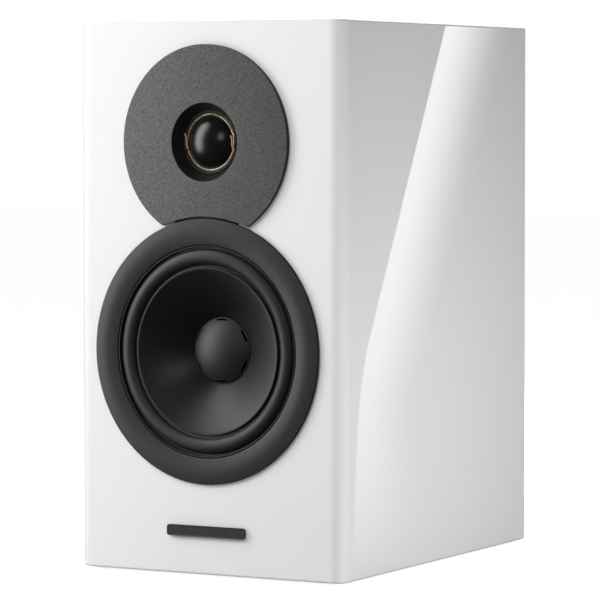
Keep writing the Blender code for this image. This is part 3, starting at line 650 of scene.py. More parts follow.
def polish_effect():
    """Broad, soft unevenness of a surface's polish."""
    inputs = {"Vector": None, "Patches per metre": 18.0, "Smoothest": 0.3, "Roughest": 0.4}
    w, given, out = effect("Uneven polish", inputs, ("Roughness",))
    patches = w.noise(given["Vector"], given["Patches per metre"], Detail=3.0, Roughness=0.55)
    roughness = w.ranged(patches, given["Smoothest"], given["Roughest"], 0.3, 0.7)
    w.tree.links.new(roughness, out.inputs["Roughness"])


def lathe_effect():
    """Faint rings left by turning, about the depth axis through the vector's origin."""
    inputs = {"Vector": None, "Rings per metre": 2500.0}
    w, given, out = effect("Turning marks", inputs, ("Height",))
    apart = w.node("ShaderNodeSeparateXYZ", {"Vector": given["Vector"]}).outputs
    across = w.maths("MULTIPLY", apart["X"], apart["X"])
    up = w.maths("MULTIPLY", apart["Z"], apart["Z"])
    radius = w.maths("SQRT", w.maths("ADD", across, up))
    along = w.node("ShaderNodeCombineXYZ", {"X": radius, "Y": apart["Y"], "Z": 0.0})
    rings = w.noise(along.outputs[0], given["Rings per metre"], Detail=1.0)
    w.tree.links.new(rings, out.inputs["Height"])


def weave_effect():
    """A plain weave seen along the depth axis."""
    inputs = {"Vector": None, "Pitch": 0.0005}
    w, given, out = effect("Plain weave", inputs, ("Height", "Thread"))
    apart = w.node("ShaderNodeSeparateXYZ", {"Vector": given["Vector"]}).outputs
    turns = w.maths("DIVIDE", math.pi, given["Pitch"])
    across = w.maths("SINE", w.maths("MULTIPLY", apart["X"], turns))
    up = w.maths("SINE", w.maths("MULTIPLY", apart["Z"], turns))
    crossing = w.maths("MULTIPLY", across, up)
    w.tree.links.new(w.ranged(crossing, 0.0, 1.0, -1.0, 1.0), out.inputs["Height"])
    w.tree.links.new(w.maths("ABSOLUTE", crossing), out.inputs["Thread"])


def blank_finish(name):
    """A new material on the list of finishes. Returns its wiring and its shader."""
    made = bpy.data.materials.new(name)
    made.use_nodes = True
    FINISHES[name] = made
    return Wiring(made.node_tree), made.node_tree.nodes["Principled BSDF"]


def finish(
    name,
    light,
    dark,
    polish,
    metallic=0.0,
    grains=1200.0,
    fleck=0.5,
    bump=0.15,
    depth=0.00005,
    centre=(0, 0, 0),
    pattern=None,
    pitch=2500.0,
    specular=0.5,
    lacquer=0.0,
    sheen=0.0,
):
    """A material whose colour, polish and surface vary, built from the shared effects.

    light and dark are the two colours it varies between, and polish its (smoothest, roughest)
    roughness. pattern is turning marks or a weave, centred on centre, and pitch its fineness.
    """
    w, shader = blank_finish(name)
    constants = {"Metallic": metallic, "Specular IOR Level": specular}
    if lacquer:
        constants |= {"Coat Weight": lacquer, "Coat Roughness": 0.015, "Coat IOR": 1.5}
    if sheen:
        constants |= {"Sheen Weight": sheen, "Sheen Roughness": 0.4}
    for socket, value in constants.items():
        shader.inputs[socket].default_value = value
    place = w.node("ShaderNodeTexCoord").outputs["Object"]
    shift = tuple(-value for value in centre)
    place = w.node("ShaderNodeMapping", {"Vector": place, "Location": shift}).outputs["Vector"]
    speck = w.place("Fine grain", Vector=place, Grains_per_metre=grains)
    colour = w.mixed(w.maths("MULTIPLY", speck["Fleck"], fleck), (*light, 1), (*dark, 1))
    height = speck["Height"]
    if pattern == "Turning marks":
        rings = w.place(pattern, Vector=place, Rings_per_metre=pitch)
        height = w.maths("ADD", w.maths("MULTIPLY", height, 0.5), rings["Height"])
    if pattern == "Plain weave":
        weave = w.place(pattern, Vector=place, Pitch=pitch)
        height = w.maths("ADD", w.maths("MULTIPLY", height, 0.25), weave["Height"])
        colour = w.mixed(w.maths("MULTIPLY", weave["Thread"], 0.5), colour, (*dark, 1))
    smoothest, roughest = polish
    gloss = w.place("Uneven polish", Vector=place, Smoothest=smoothest, Roughest=roughest)
    raised = w.node("ShaderNodeBump", {"Strength": bump, "Distance": depth, "Height": height})
    w.tree.links.new(colour, shader.inputs["Base Color"])
    w.tree.links.new(gloss["Roughness"], shader.inputs["Roughness"])
    w.tree.links.new(raised.outputs["Normal"], shader.inputs["Normal"])


def shade(colour, amount):
    """A colour made darker, or lighter by an amount over 1."""
    return tuple(value * amount for value in colour)


def mix_finishes(scene):
    """Makes every finish once, and frees their names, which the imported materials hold."""
    for packed in bpy.data.materials:
        packed.name = "packed_" + packed.name
    grain_effect()
    polish_effect()
    lathe_effect()
    weave_effect()
    lacquer = tuple(scene.speaker_cabinet.lacquer)
    trim = tuple(scene.speaker_woofer.ring_colour)
    cone = tuple(scene.speaker_woofer.cone_colour)
    dome = tuple(scene.speaker_tweeter.dome_colour)
    plus = tuple(scene.speaker_terminals.plus_colour)
    pitch = scene.speaker_tweeter.thread_pitch
    finish(
        "white_lacquer", lacquer, shade(lacquer, 0.99), (0.40, 0.46),
        grains=260, fleck=0.4, bump=0.02, depth=0.00002, specular=0.0, lacquer=1.0,
    )
    finish(
        "fibreboard", (0.36, 0.26, 0.16), (0.22, 0.15, 0.09), (0.80, 0.92),
        grains=900, bump=0.5, depth=0.0002,
    )
    finish(
        "satin_black_metal", trim, shade(trim, 0.6), (0.42, 0.47),
        metallic=0.3, grains=1500, fleck=1.0, bump=0.6, depth=0.00006,
    )
    finish(
        "plate_metal", shade(trim, 4.1), shade(trim, 2.1), (0.35, 0.39),
        metallic=0.9, grains=1500, fleck=1.0, bump=0.6, depth=0.00006,
    )
    # Near-black matte walls: the tweeter's throat, the trims' side walls, rims and the bite. On the
    # wall inside the woofer ring's opening and in the screws' key holes it is painted shade.
    finish(
        "blackened_wall", shade(trim, 0.18), shade(trim, 0.12), (0.46, 0.54),
        grains=1500, bump=0.2, specular=0.3,
    )
    # Near-black with no specular, for the dust cap's slots: painted shade for the dark openings.
    finish(
        "slot_black", (0.0012, 0.0012, 0.0012), (0.0008, 0.0008, 0.0008), (0.80, 0.90),
        specular=0.0,
    )
    finish(
        "cone_black", cone, shade(cone, 0.65), (0.40, 0.45),
        grains=1700, fleck=0.6, bump=0.30, depth=0.00006,
    )
    finish(
        "cap_black", shade(cone, 1.8), cone, (0.54, 0.58),
        grains=1700, fleck=0.6, bump=0.30, depth=0.00006, specular=0.9,
    )
    finish(
        "black_rubber", (0.008, 0.008, 0.008), (0.005, 0.005, 0.005), (0.50, 0.56),
        grains=900, bump=0.10, specular=0.75,
    )
    finish(
        "dome_black", dome, shade(dome, 0.5), (0.22, 0.26),
        pattern="Plain weave", pitch=pitch, centre=TWEETER, bump=0.55, depth=0.00004, specular=0.6,
    )
    finish(
        "black_plastic", (0.020, 0.020, 0.021), (0.014, 0.014, 0.014), (0.36, 0.46),
        grains=1600, bump=0.25,
    )
    finish("red_plastic", plus, shade(plus, 0.8), (0.25, 0.34), grains=1400, fleck=0.3, bump=0.08)
    finish(
        "cream_former", (0.72, 0.66, 0.50), (0.44, 0.36, 0.20), (0.20, 0.28),
        metallic=0.8, grains=500, fleck=0.8, bump=0.1,
    )
    finish(
        "copper", (0.88, 0.40, 0.22), (0.66, 0.27, 0.13), (0.26, 0.36),
        metallic=0.8, pattern="Turning marks", pitch=2600, bump=0.2,
    )
    finish(
        "nickel", (0.68, 0.65, 0.60), (0.60, 0.57, 0.52), (0.16, 0.24),
        metallic=1.0, centre=TERMINALS, grains=2500, fleck=0.4, bump=0.06,
    )
    finish(
        "steel", (0.44, 0.44, 0.45), (0.32, 0.32, 0.33), (0.30, 0.42),
        metallic=1.0, pattern="Turning marks", centre=WOOFER,
    )
    finish(
        "ferrite", (0.070, 0.070, 0.075), (0.045, 0.045, 0.048), (0.52, 0.66),
        grains=1100, bump=0.4,
    )
    finish(
        "cast_alloy", (0.09, 0.09, 0.095), (0.06, 0.06, 0.062), (0.42, 0.56),
        metallic=0.6, grains=800, bump=0.5, depth=0.0001,
    )
    finish(
        "yellow_cloth", (0.66, 0.50, 0.22), (0.40, 0.28, 0.10), (0.82, 0.92),
        pattern="Plain weave", pitch=0.0009, centre=WOOFER, bump=0.8, depth=0.0002, sheen=0.2,
    )
    finish(
        "foam", (0.12, 0.12, 0.13), (0.05, 0.05, 0.06), (0.90, 0.97),
        grains=700, fleck=1.0, bump=0.9, depth=0.0006, sheen=0.1,
    )
    finish(
        "circuit_board", (0.02, 0.17, 0.07), (0.01, 0.10, 0.04), (0.34, 0.46),
        grains=300, bump=0.1,
    )
    finish(
        "cable_black", (0.020, 0.020, 0.022), (0.013, 0.013, 0.014), (0.42, 0.54),
        grains=1500,
    )


# ---------------------------------------------------------------- pieces


def model_cabinet(settings):
    """One seamless lacquered shell: tapered sides, rounded upright corners and every opening."""
    taper = math.atan((HALF_WIDTH - REAR_HALF_WIDTH) / (REAR - FRONT))
    shell = block("cabinet_shell", (-HALF_WIDTH, FRONT, UNDERSIDE), (HALF_WIDTH, REAR, LID))
    select(shell, "FACE", lambda face: face.normal.y > 0.9)
    narrower = (REAR_HALF_WIDTH / HALF_WIDTH, 1, 1)
    bpy.ops.transform.resize(value=narrower, center_override=(0, REAR, 0))
    leave_edit()

    def upright_front(edge):
        a, b = ends(shell, edge)
        return abs(a.z - b.z) > TALL and max(a.y, b.y) < FRONT + MM

    reach = settings.corner_radius / math.tan((math.pi / 2 - taper) / 2)
    bevel_edges(shell, upright_front, reach, 14)

    def rim(edge):
        a, b = ends(shell, edge)
        on_lid = min(a.z, b.z) > LID - TOUCHING
        on_base = max(a.z, b.z) < UNDERSIDE + TOUCHING
        upright_rear = abs(a.z - b.z) > TALL and min(a.y, b.y) > REAR - TOUCHING
        return on_lid or on_base or upright_rear

    bevel_edges(shell, rim, settings.edge_radius, 4)
    coat(shell, "white_lacquer")

    wall = settings.wall
    broad = 0.5
    room_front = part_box("right_side_panel")[0].y
    room_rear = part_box("rear_panel")[0].y
    room = block("room", (-broad, room_front, UNDERSIDE + wall), (broad, room_rear, LID - wall))
    for depth in (room_front, room_rear):
        lost = (HALF_WIDTH - REAR_HALF_WIDTH) * (depth - FRONT) / (REAR - FRONT)
        half = HALF_WIDTH - lost - wall / math.cos(taper)
        select(room, "VERT", lambda vert: abs(vert.co.y - depth) < TOUCHING)
        bpy.ops.transform.resize(value=(half / broad, 1, 1), center_override=(0, depth, 0))
        leave_edit()
    coat(room, "fibreboard")

    bores = [
        bore("woofer_bore", WOOFER, -12, [(72.8, 5.3), (64.0, 40)]),
        bore("tweeter_bore", TWEETER, -12, [(50.3, 4.9), (35.1, 40)]),
        bore("port_bore", PORT, -40, [(30.5, 9)]),
    ]
    for side in (-1, 1):
        post = TERMINALS + Vector((side * POST_SPACING / 2, 0, 0))
        bores.append(bore("post_bore", post, -40, [(8, 0.15), (5.5, 9)], 48))
    for cutter in bores:
        coat(cutter, "fibreboard")
    carve(shell, room, *bores)
    smooth(shell, 32, even=True)
    sides = ("left_side_panel", "right_side_panel", "bottom_panel", "top_panel")
    finished(shell, "cabinet", "white_lacquer", "front_baffle", "rear_panel", *sides)


def model_feet():
    """Four thin rubber pads with a rounded edge and a shallow dish underneath."""
    first = "foot_pad_front_left"
    low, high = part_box(first)
    centre = Vector(((low.x + high.x) / 2, (low.y + high.y) / 2, low.z))
    thick = (high.z - low.z) / MM
    outline = [(0.15, 0), (0.15, 4.6), (0, 4.9), (0, 5.5), (0.15, 5.85), (0.4, 6.0)]
    outline += [(thick - 0.2, 6.0), (thick, 5.8), (thick, 0)]
    pad = turned("rubber_" + first, outline, centre, 64, "Z")
    pads = {first: pad}
    for name in ("foot_pad_front_right", "foot_pad_rear_left", "foot_pad_rear_right"):
        other_low, other_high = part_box(name)
        shift = (other_low + other_high) / 2 - (low + high) / 2
        pads[name] = own_copy(pad, "rubber_" + name, shift=shift)
    for name, piece in pads.items():
        finished(piece, "cabinet", "black_rubber", name)


def model_badge():
    """A plain bar with a chamfered rim and a slightly sunk face."""
    bar = block("badge_plain_bar", *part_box("badge_bar"))
    bevel_edges(bar, through(bar), 0.0015, 6)
    select(bar, "FACE", lambda face: face.normal.y < -0.9)
    bpy.ops.mesh.inset(thickness=0.00045)
    bpy.ops.transform.translate(value=(0, 0.00035, 0))
    leave_edit()
    soften(bar, 0.00018, 3, 35)
    smooth(bar, 40, even=True)
    finished(bar, "cabinet", "satin_black_metal", "badge_bar")


def model_woofer_ring():
    """The dished trim ring, with rounded edges and a fine lip round its opening."""
    outline = [(-0.3, 74.6), (-0.45, 74.95), (-1.9, 75.0), (-2.12, 74.93), (-2.28, 74.75)]
    outline += [(-2.36, 74.5)]
    outline += curve_between((-2.40, 74.2), (-3.0, 70.6), (-3.0, 68.4), 12)
    outline += curve_between((-3.0, 67.8), (-2.95, 64.6), (-1.95, 60.7), 14)
    outline += [(-1.80, 60.35), (-1.50, 60.2), (-1.20, 60.1), (-1.15, 59.9), (-1.45, 59.75)]
    outline += [(-1.62, 59.55), (-1.66, 59.35), (-1.55, 59.12), (-1.3, 59.0), (-0.3, 59.0)]
    ring = turned("trim_ring", outline, WOOFER, 160, sharp=28)
    coat(ring, "satin_black_metal", "blackened_wall")
    # The outer rim and the faces inside the opening, but for the fine lip, take the near-black
    # finish; inside the opening it is painted shade.
    for face in ring.data.polygons:
        radius = radius_of(face.center, WOOFER)
        rim = radius > 74.55 and abs(face.normal.y) < 0.93
        lip = 59.2 < radius < 59.8 and face.normal.y < -0.8
        if rim or (radius < 60.4 and not lip):
            face.material_index = 1
    finished(ring, "cabinet", "satin_black_metal", "woofer_trim_ring")


def model_woofer_surround(settings):
    """The rubber half roll between the cone and the basket, with its two flat lips."""
    height = settings.roll_height / MM
    face, back = 0.5, 1.5
    outline = [(face, 60.5), (face, 59.2), (face - 0.25, 58.3), (face - 0.15, 57.95)]
    outline += arc((face, 53.45), (height, 4.35), 6, 174, 28)
    outline += [(face - 0.1, 48.85), (face, 48.6), (face, 46.6), (back, 46.6), (back, 49.6)]
    outline += arc((back, 53.45), (height - 0.7, 3.35), 180, 0, 18)
    outline += [(back, 60.5)]
    roll = turned("rubber_surround", outline, WOOFER, 160, sharp=40)
    radial_blend(roll, WOOFER, 48.6, 58.2)
    finished(roll, None, "black_rubber", "woofer_surround")


def model_woofer_cone(settings):
    """The curved cone with its flat rim, and the slotted dust cap over the voice coil."""
    bend, thick = (5.8, 31.07), 0.75
    front = [(0.1, 47.7), (-0.35, 47.7), (-0.55, 47.6), (-0.62, 47.4), (-0.60, 46.9)]
    front += curve_between((-0.55, 46.45), bend, (15.4, 19.1), 26)
    back = reversed(curve_between((-0.5, 46.1), bend, (15.35, 19.1), 20))
    outline = front + [(along + thick, radius) for along, radius in back]
    cone = turned("moulded_cone", outline, WOOFER, 160, sharp=35)
    finished(cone, "woofer_moving", "cone_black", "woofer_cone")

    outline = bowl(radius=18.8, rise=6.0, depth=15.4, wall=0.8, steps=24, wall_steps=16)
    cap = turned("dust_cap", outline, WOOFER, 120, sharp=40)
    coat(cap, "cap_black", "slot_black")
    # The slots are shallow cuts whose walls take the near-black finish: painted shade for openings
    # into the dark behind the cap.
    if settings.cap_slots:
        half = settings.slot_length / 2
        low = (-half, FRONT + 0.0120, WOOFER.z + 0.0170)
        high = (half, FRONT + 0.0150, WOOFER.z + 0.0184)
        slot = block("slot", low, high)
        coat(slot, "slot_black")
        carve(cap, round_array(slot, settings.cap_slots, WOOFER, "slots"))
        smooth(cap, 40, even=True)
    finished(cap, "woofer_moving", "cone_black", "woofer_dust_cap")


def model_tweeter_plate():
    """The round face plate with its conical throat, cut away where the woofer's ring passes it."""
    outline = [(-0.3, 55.0), (-3.0, 55.0), (-3.0, 22.45), (-2.93, 22.22), (-2.75, 22.05)]
    outline += [(3.4, 18.3), (3.5, 18.2), (3.5, 21.4), (-0.3, 23.8)]
    plate = turned("face_plate", outline, TWEETER, 160)
    bite = bore("bite", WOOFER, -10, [(76.2, 10)], 160)
    coat(plate, "plate_metal", "blackened_wall")
    coat(bite, "blackened_wall")
    carve(plate, bite)
    normals_at = {}
    for face in plate.data.polygons:
        for key in face.edge_keys:
            normals_at.setdefault(key, []).append(face.normal.copy())

    def outer_rim(edge):
        a, b = ends(plate, edge)
        at_front = max(a.y, b.y) < FRONT - 0.00299
        normals = normals_at.get(tuple(sorted(edge.vertices)), [])
        sharp = len(normals) == 2 and normals[0].angle(normals[1]) > 0.6
        return at_front and sharp and radius_of(a, TWEETER) > 30

    bevel_edges(plate, outer_rim, 0.0009, 5)
    smooth(plate, 35, even=True)
    for face in plate.data.polygons:
        behind_rim = face.center.y > FRONT - 0.00296
        in_throat = behind_rim and radius_of(face.center, TWEETER) < 22.2
        wall = abs(face.normal.y) < 0.6
        face.material_index = int(in_throat or wall)
    finished(plate, "cabinet", "satin_black_metal", "tweeter_face_plate")


def model_tweeter_dome():
    """The woven dome, the coil former round it, and the small roll and glue bead outside that."""
    outline = bowl(radius=15.0, rise=7.0, depth=4.2, wall=0.5, steps=28, wall_steps=18)
    dome = turned("soft_dome", outline, TWEETER, 128, sharp=40)
    finished(dome, "tweeter_moving", "dome_black", "tweeter_dome")

    outline = [(3.62, 15.3), (3.5, 15.42), (3.42, 15.7), (3.5, 15.98), (3.65, 16.1)]
    outline += [(11.0, 16.1), (11.0, 15.3)]
    coil = turned("coil_former", outline, TWEETER, 128, sharp=50)
    finished(coil, "tweeter_moving", "cream_former", "tweeter_voice_coil")

    outline = [(4.4, 16.4), (4.4, 21.5), (3.8, 21.5), (3.8, 18.22), (3.62, 18.12), (3.55, 18.0)]
    outline += [(3.62, 17.9)]
    outline += arc((3.8, 17.15), (0.8, 0.72), 8, 178, 12)
    roll = turned("small_roll", outline, TWEETER, 128, sharp=60)
    coat(roll, "black_rubber", "cream_former")
    for face in roll.data.polygons:
        on_bead = 17.95 < radius_of(face.center, TWEETER) < 18.15
        face.material_index = int(on_bead and face.normal.y < -0.5)
    radial_blend(roll, TWEETER, 16.4, 17.9)
    finished(roll, None, "black_rubber", "tweeter_surround")


def model_tweeter_leads(settings):
    """Two S-shaped copper leads that cross the small roll, swept along a curve."""
    route = [(16.83, -4.75), (15.78, -3.2), (15.38, -1.2), (15.46, 0.7), (15.30, 2.5), (14.33, 3.8)]
    for side, name in ((-1, "tweeter_lead_left"), (1, "tweeter_lead_right")):
        low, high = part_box(name)
        depth = (low.y + high.y) / 2
        put_tools_down()
        bpy.ops.curve.primitive_nurbs_path_add(location=(0, 0, 0))
        wire = named("copper_" + name)
        path = wire.data.splines[0]
        path.points.add(len(route) - len(path.points))
        for point, (out, rise) in zip(path.points, route):
            point.co = (side * out * MM, depth, TWEETER.z + side * rise * MM, 1)
        path.use_endpoint_u = True
        path.order_u = 3
        wire.data.resolution_u = 10
        wire.data.bevel_depth = settings.lead_radius
        wire.data.bevel_resolution = 4
        wire.data.use_fill_caps = True
        take_up(wire)
        bpy.ops.object.convert(target="MESH")
        wire = bpy.context.object
        select(wire, "VERT", lambda vert: True)
        bpy.ops.mesh.remove_doubles(threshold=1e-6)
        bpy.ops.mesh.select_all(action="SELECT")
        bpy.ops.mesh.normals_make_consistent(inside=False)
        leave_edit()
        smooth(wire, 60)
        radial_blend(wire, TWEETER, 15.5, 17.9)
        finished(wire, None, "copper", name)


def model_port():
    """The reflex tube, flared at both ends, with a rounded flange."""
    inner, outer, radius, wall = -115, 3.0, 18, 2.5
    lip, flare = 5, 11
    outline = [(0.3, 30.2), (0.3, 33.8), (0.6, 34.0), (2.2, 34.0)]
    outline += arc((2.2, 33.2), (-0.8, 0.8), 0, 90, 6)[1:]
    outline += [(outer, 30.4)]
    outline += arc((outer - flare, radius + flare), (-flare, flare), 90, 180, 24)
    outline += arc((inner + lip, radius + lip), (lip, -lip), 0, 90, 8)
    outline += [(inner, 25.5), (inner + 1.5, 25.5), (inner + 7.5, radius + wall)]
    outline += [(outer - flare - wall, radius + wall), (outer - 5.5 - wall, 30.2)]
    tube = turned("reflex_port", outline, PORT, 128, sharp=35)
    finished(tube, "cabinet", "black_plastic", "port_tube")


def model_terminal_plate():
    """The plate that carries the posts, with a raised rim, and its two socket screws."""
    plate = block("post_plate", *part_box("terminal_plate"))
    bevel_edges(plate, through(plate), 0.005, 8)
    select(plate, "FACE", lambda face: face.normal.y > 0.9)
    bpy.ops.mesh.inset(thickness=0.0016)
    bpy.ops.mesh.inset(thickness=0.0006)
    bpy.ops.transform.translate(value=(0, -0.0007, 0))
    leave_edit()
    screws = ("terminal_plate_screw_1", "terminal_plate_screw_2")
    cutters = []
    for side in (-1, 1):
        post = TERMINALS + Vector((side * POST_SPACING / 2, 0, 0))
        cutters.append(bore("post_hole", post, -5, [(5.5, 9)], 48))
    for name in screws:
        cutters.append(bore("screw_hole", middle_of(name, REAR), -5, [(3.9, 9)], 48))
    for piece in (plate, *cutters):
        coat(piece, "satin_black_metal")
    carve(plate, *cutters)
    soften(plate, 0.0002, 2, 40)
    smooth(plate, 40, even=True)
    finished(plate, "cabinet", "satin_black_metal", "terminal_plate")
    for name in screws:
        model_plate_screw(name)


def model_plate_screw(name):
    """A socket screw with a rounded head and a ribbed shank."""
    centre = middle_of(name, REAR)
    back, head = reach_of(name)
    outline = [(head, 0), (head, 2.6), (head - 0.25, 3.1), (head - 0.7, 3.42), (head - 1.2, 3.5)]
    outline += [(head - 2.0, 3.5), (head - 2.2, 3.4), (head - 2.2, 1.8)]
    ribs = 10
    for rib in range(ribs):
        place = head - 3.0 - rib * (head - 4.0 - back) / ribs
        outline += [(place, 1.8), (place - 0.35, 1.5), (place - 0.7, 1.8)]
    outline += [(back, 1.2), (back, 0)]
    screw = turned("socket_" + name, outline, centre, 48)
    coat(screw, "steel")
    key_hole = peg("key_hole", centre + Vector((0, head * MM, 0)), 0.00145, 0.003, corners=6)
    # The key hole's walls take the near-black finish: painted shade in the recess.
    coat(key_hole, "blackened_wall")
    carve(screw, key_hole)
    smooth(screw)
    finished(screw, "cabinet", "steel", name)


def model_knob(settings, post):
    """A clamp knob with a collar, a rounded rim and grip flutes."""
    start, end = reach_of("negative_knob")
    outline = [(start, 3.3), (start, 7.4), (start + 0.3, 7.9), (start + 1.0, 8.2)]
    outline += [(start + 2.2, 8.2), (start + 2.5, 7.8), (start + 2.9, 7.8), (start + 3.2, 8.35)]
    outline += [(start + 3.6, 8.5), (end - 1.2, 8.5), (end - 0.5, 8.25), (end - 0.1, 7.8)]
    outline += [(end, 7.5), (end, 7.05), (end - 0.1, 7.0), (end - 1.3, 7.0), (end - 1.3, 3.3)]
    knob = turned("knob", outline, post, 120)
    middle = post + Vector((0, (start + 3.6 + end - 0.9) / 2 * MM, 0.00895))
    flute = peg("flute", middle, 0.00085, (end - start - 3.6 - 0.9) * MM, corners=14)

    def at_end(edge):
        a, b = ends(flute, edge)
        return abs(a.y - b.y) < 1e-6

    bevel_edges(flute, at_end, 0.0004, 2)
    for piece in (knob, flute):
        coat(piece, "black_plastic")
    carve(knob, round_array(flute, settings.flutes, post, "flutes"))
    return smooth(knob)


def model_stud(post):
    """A threaded stud with a bore for a plug in its end."""
    back, tip = reach_of("negative_stud")
    outline = [(back, 0), (back, 2.6)]
    threads = 18
    pitch = (tip - back - 1.2) / threads
    for thread in range(threads):
        place = back + 0.4 + thread * pitch
        outline += [(place, 2.98), (place + pitch * 0.35, 2.98)]
        outline += [(place + pitch * 0.6, 2.62), (place + pitch * 0.8, 2.62)]
    outline += [(tip - 0.5, 3.0), (tip - 0.15, 2.95), (tip, 2.75), (tip, 2.25), (tip - 0.25, 2.0)]
    outline += [(tip - 16, 2.0), (tip - 16, 0)]
    return turned("stud", outline, post, 48)


def model_binding_posts(settings):
    """Fluted knobs, threaded studs, collars, washers and colour rings, made once and copied."""
    post = TERMINALS + Vector((-POST_SPACING / 2, 0, 0))
    knob = model_knob(settings, post)
    stud = model_stud(post)

    back, face = reach_of("negative_collar")
    outline = [(back, 3.3), (back, 5.2), (3.3, 5.2), (3.3, 7.7), (3.6, 8.0), (face - 0.6, 8.0)]
    outline += [(face - 0.15, 7.85), (face, 7.5), (face, 6.6), (face - 0.12, 6.4)]
    outline += [(face - 0.12, 5.4), (face, 5.2), (face, 3.3)]
    collar = turned("collar", outline, post)

    near, far = reach_of("negative_clamp_washer")
    outline = [(near, 3.3), (near, 6.75), (near + 0.25, 7.0), (far - 0.25, 7.0)]
    outline += [(far, 6.75), (far, 3.3)]
    washer = turned("washer", outline, post)

    near, far = reach_of("negative_colour_ring")
    outline = [(near, 3.35), (near, 6.7), (far - 0.15, 6.7), (far, 6.5), (far, 3.6)]
    outline += [(far - 0.15, 3.35)]
    ring = turned("ring", outline, post)

    parts = (
        (knob, "_knob", "_knob_body", "black_plastic", "black_plastic"),
        (stud, "_stud", None, "nickel", "nickel"),
        (collar, "_collar", None, "nickel", "nickel"),
        (washer, "_clamp_washer", "_clamp", "nickel", "nickel"),
        (ring, "_colour_ring", "_knob_body", "black_plastic", "red_plastic"),
    )
    for piece, node, body, minus, plus in parts:
        kind = piece.name
        other = own_copy(piece, "positive_post_" + kind, shift=(POST_SPACING, 0, 0))
        piece.name = piece.data.name = "negative_post_" + kind
        for obj, hand, slot in ((piece, "negative", minus), (other, "positive", plus)):
            coat(obj, slot)
            finished(obj, hand + body if body else "cabinet", slot, hand + node)


def model_damping():
    """The foam pad inside the rear panel: a soft slab with rounded edges and an uneven face."""
    low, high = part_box("rear_damping_pad")
    inset = Vector((MM, MM, MM))
    pad = block("damping_pad", low + inset, high - inset)
    select(pad, "EDGE", lambda edge: True)
    bpy.ops.mesh.bevel(offset=0.004, segments=4, profile=0.5, affect="EDGES")
    bpy.ops.mesh.select_all(action="SELECT")
    bpy.ops.mesh.subdivide(number_cuts=11)
    leave_edit()
    lumps = bpy.data.textures.new("Foam lumps", "CLOUDS")
    lumps.noise_scale = 0.022
    lumps.noise_depth = 1
    apply_modifier(pad, "DISPLACE", texture=lumps, strength=0.0016, mid_level=0.5)
    smooth(pad, 80)
    finished(pad, "cabinet", "foam", "rear_damping_pad")


def finish_inner_parts(record):
    """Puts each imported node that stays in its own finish."""
    for part in record["subparts"]:
        for slot in frame["nodes"][part["node"]].material_slots:
            slot.material = FINISHES[part["material_slot"]]


# ---------------------------------------------------------------- studio

# The side card, in millimetres: how far its edge reaches at its middle height, how much less it
# reaches for each millimetre up, and below the bend the curve by which it flares to its foot.
CARD_REACH = 40
CARD_SLANT = 0.2415
CARD_BEND = -31
CARD_FOOT = 47.5
CARD_FLARE = 11
CARD_FLARE_HEIGHT = 45.5


def aim(obj, target):
    """Turns a light or the camera towards a point."""
    direction = Vector(target) - obj.location
    obj.rotation_euler = direction.to_track_quat("-Z", "Y").to_euler()


def around(target, azimuth, elevation, distance):
    """A point seen from target at this azimuth from straight ahead, elevation and distance."""
    level = math.cos(elevation)
    way = Vector((math.sin(azimuth) * level, -math.cos(azimuth) * level, math.sin(elevation)))
    return Vector(target) + way * distance


def soft_light(name, target, azimuth, elevation, distance, size, power, mirrored=True):
    """A rectangular light aimed at target, from two angles in degrees. Gloss may not mirror it."""
    put_tools_down()
    place = around(target, math.radians(azimuth), math.radians(elevation), distance)
    bpy.ops.object.light_add(type="AREA", location=place)
    light = named(name)
    light.data.shape = "RECTANGLE"
    light.data.size, light.data.size_y = size
    light.data.energy = power
    light.visible_camera = False
    light.visible_glossy = mirrored
    aim(light, target)
    return light


def card_edge(height):
    """How far the side card reaches at a height above its middle, in metres."""
    h = height / MM
    if h > CARD_BEND:
        return (CARD_REACH - CARD_SLANT * h) * MM
    flare = 1 - math.exp((h - CARD_BEND) / CARD_FLARE_HEIGHT)
    return (CARD_FOOT + CARD_FLARE * flare) * MM


def side_card(settings):
    """The shaped card that only gloss mirrors. It fades inwards from its edge and to its foot."""
    put_tools_down()
    bpy.ops.mesh.primitive_grid_add(x_subdivisions=1, y_subdivisions=80, size=1, location=(0, 0, 0))
    card = named("side_card")
    for vert in card.data.vertices:
        vert.co.y *= 0.42
        vert.co.x = card_edge(vert.co.y) if vert.co.x > 0 else -0.09
    across = Vector((0.96374368, -0.26682976, 0.0))
    up = Vector((0.01180849, 0.04265024, 0.99902028))
    centre = Vector((0.19220576, 0.42215976, 0.13758536))
    turn = Matrix((across, up, across.cross(up))).transposed().to_4x4()
    card.matrix_world = Matrix.Translation(centre) @ turn
    w, shader = blank_finish("card_glow")
    w.tree.nodes.remove(shader)
    place = w.node("ShaderNodeTexCoord").outputs["Object"]
    apart = w.node("ShaderNodeSeparateXYZ", {"Vector": place}).outputs
    straight = w.maths("SUBTRACT", CARD_REACH * MM, w.maths("MULTIPLY", apart["Y"], CARD_SLANT))
    edge = w.maths("MINIMUM", straight, (CARD_FOOT + CARD_FLARE) * MM)
    inwards = w.maths("SUBTRACT", edge, apart["X"])
    fall = w.ranged(inwards, 1.0, 0.0, 0.0, 0.046, interpolation_type="SMOOTHSTEP")
    rise = w.ranged(apart["Y"], 0.0, 1.0, -0.190, 0.180)
    glow = w.maths("MULTIPLY", fall, w.maths("POWER", rise, 0.75))
    emission = w.node(
        "ShaderNodeEmission", {"Strength": w.maths("MULTIPLY", glow, settings.card_glow)}
    )
    w.tree.links.new(emission.outputs[0], w.tree.nodes["Material Output"].inputs["Surface"])
    coat(card, "card_glow")
    card.visible_camera = False
    card.visible_diffuse = False
    card.visible_shadow = False


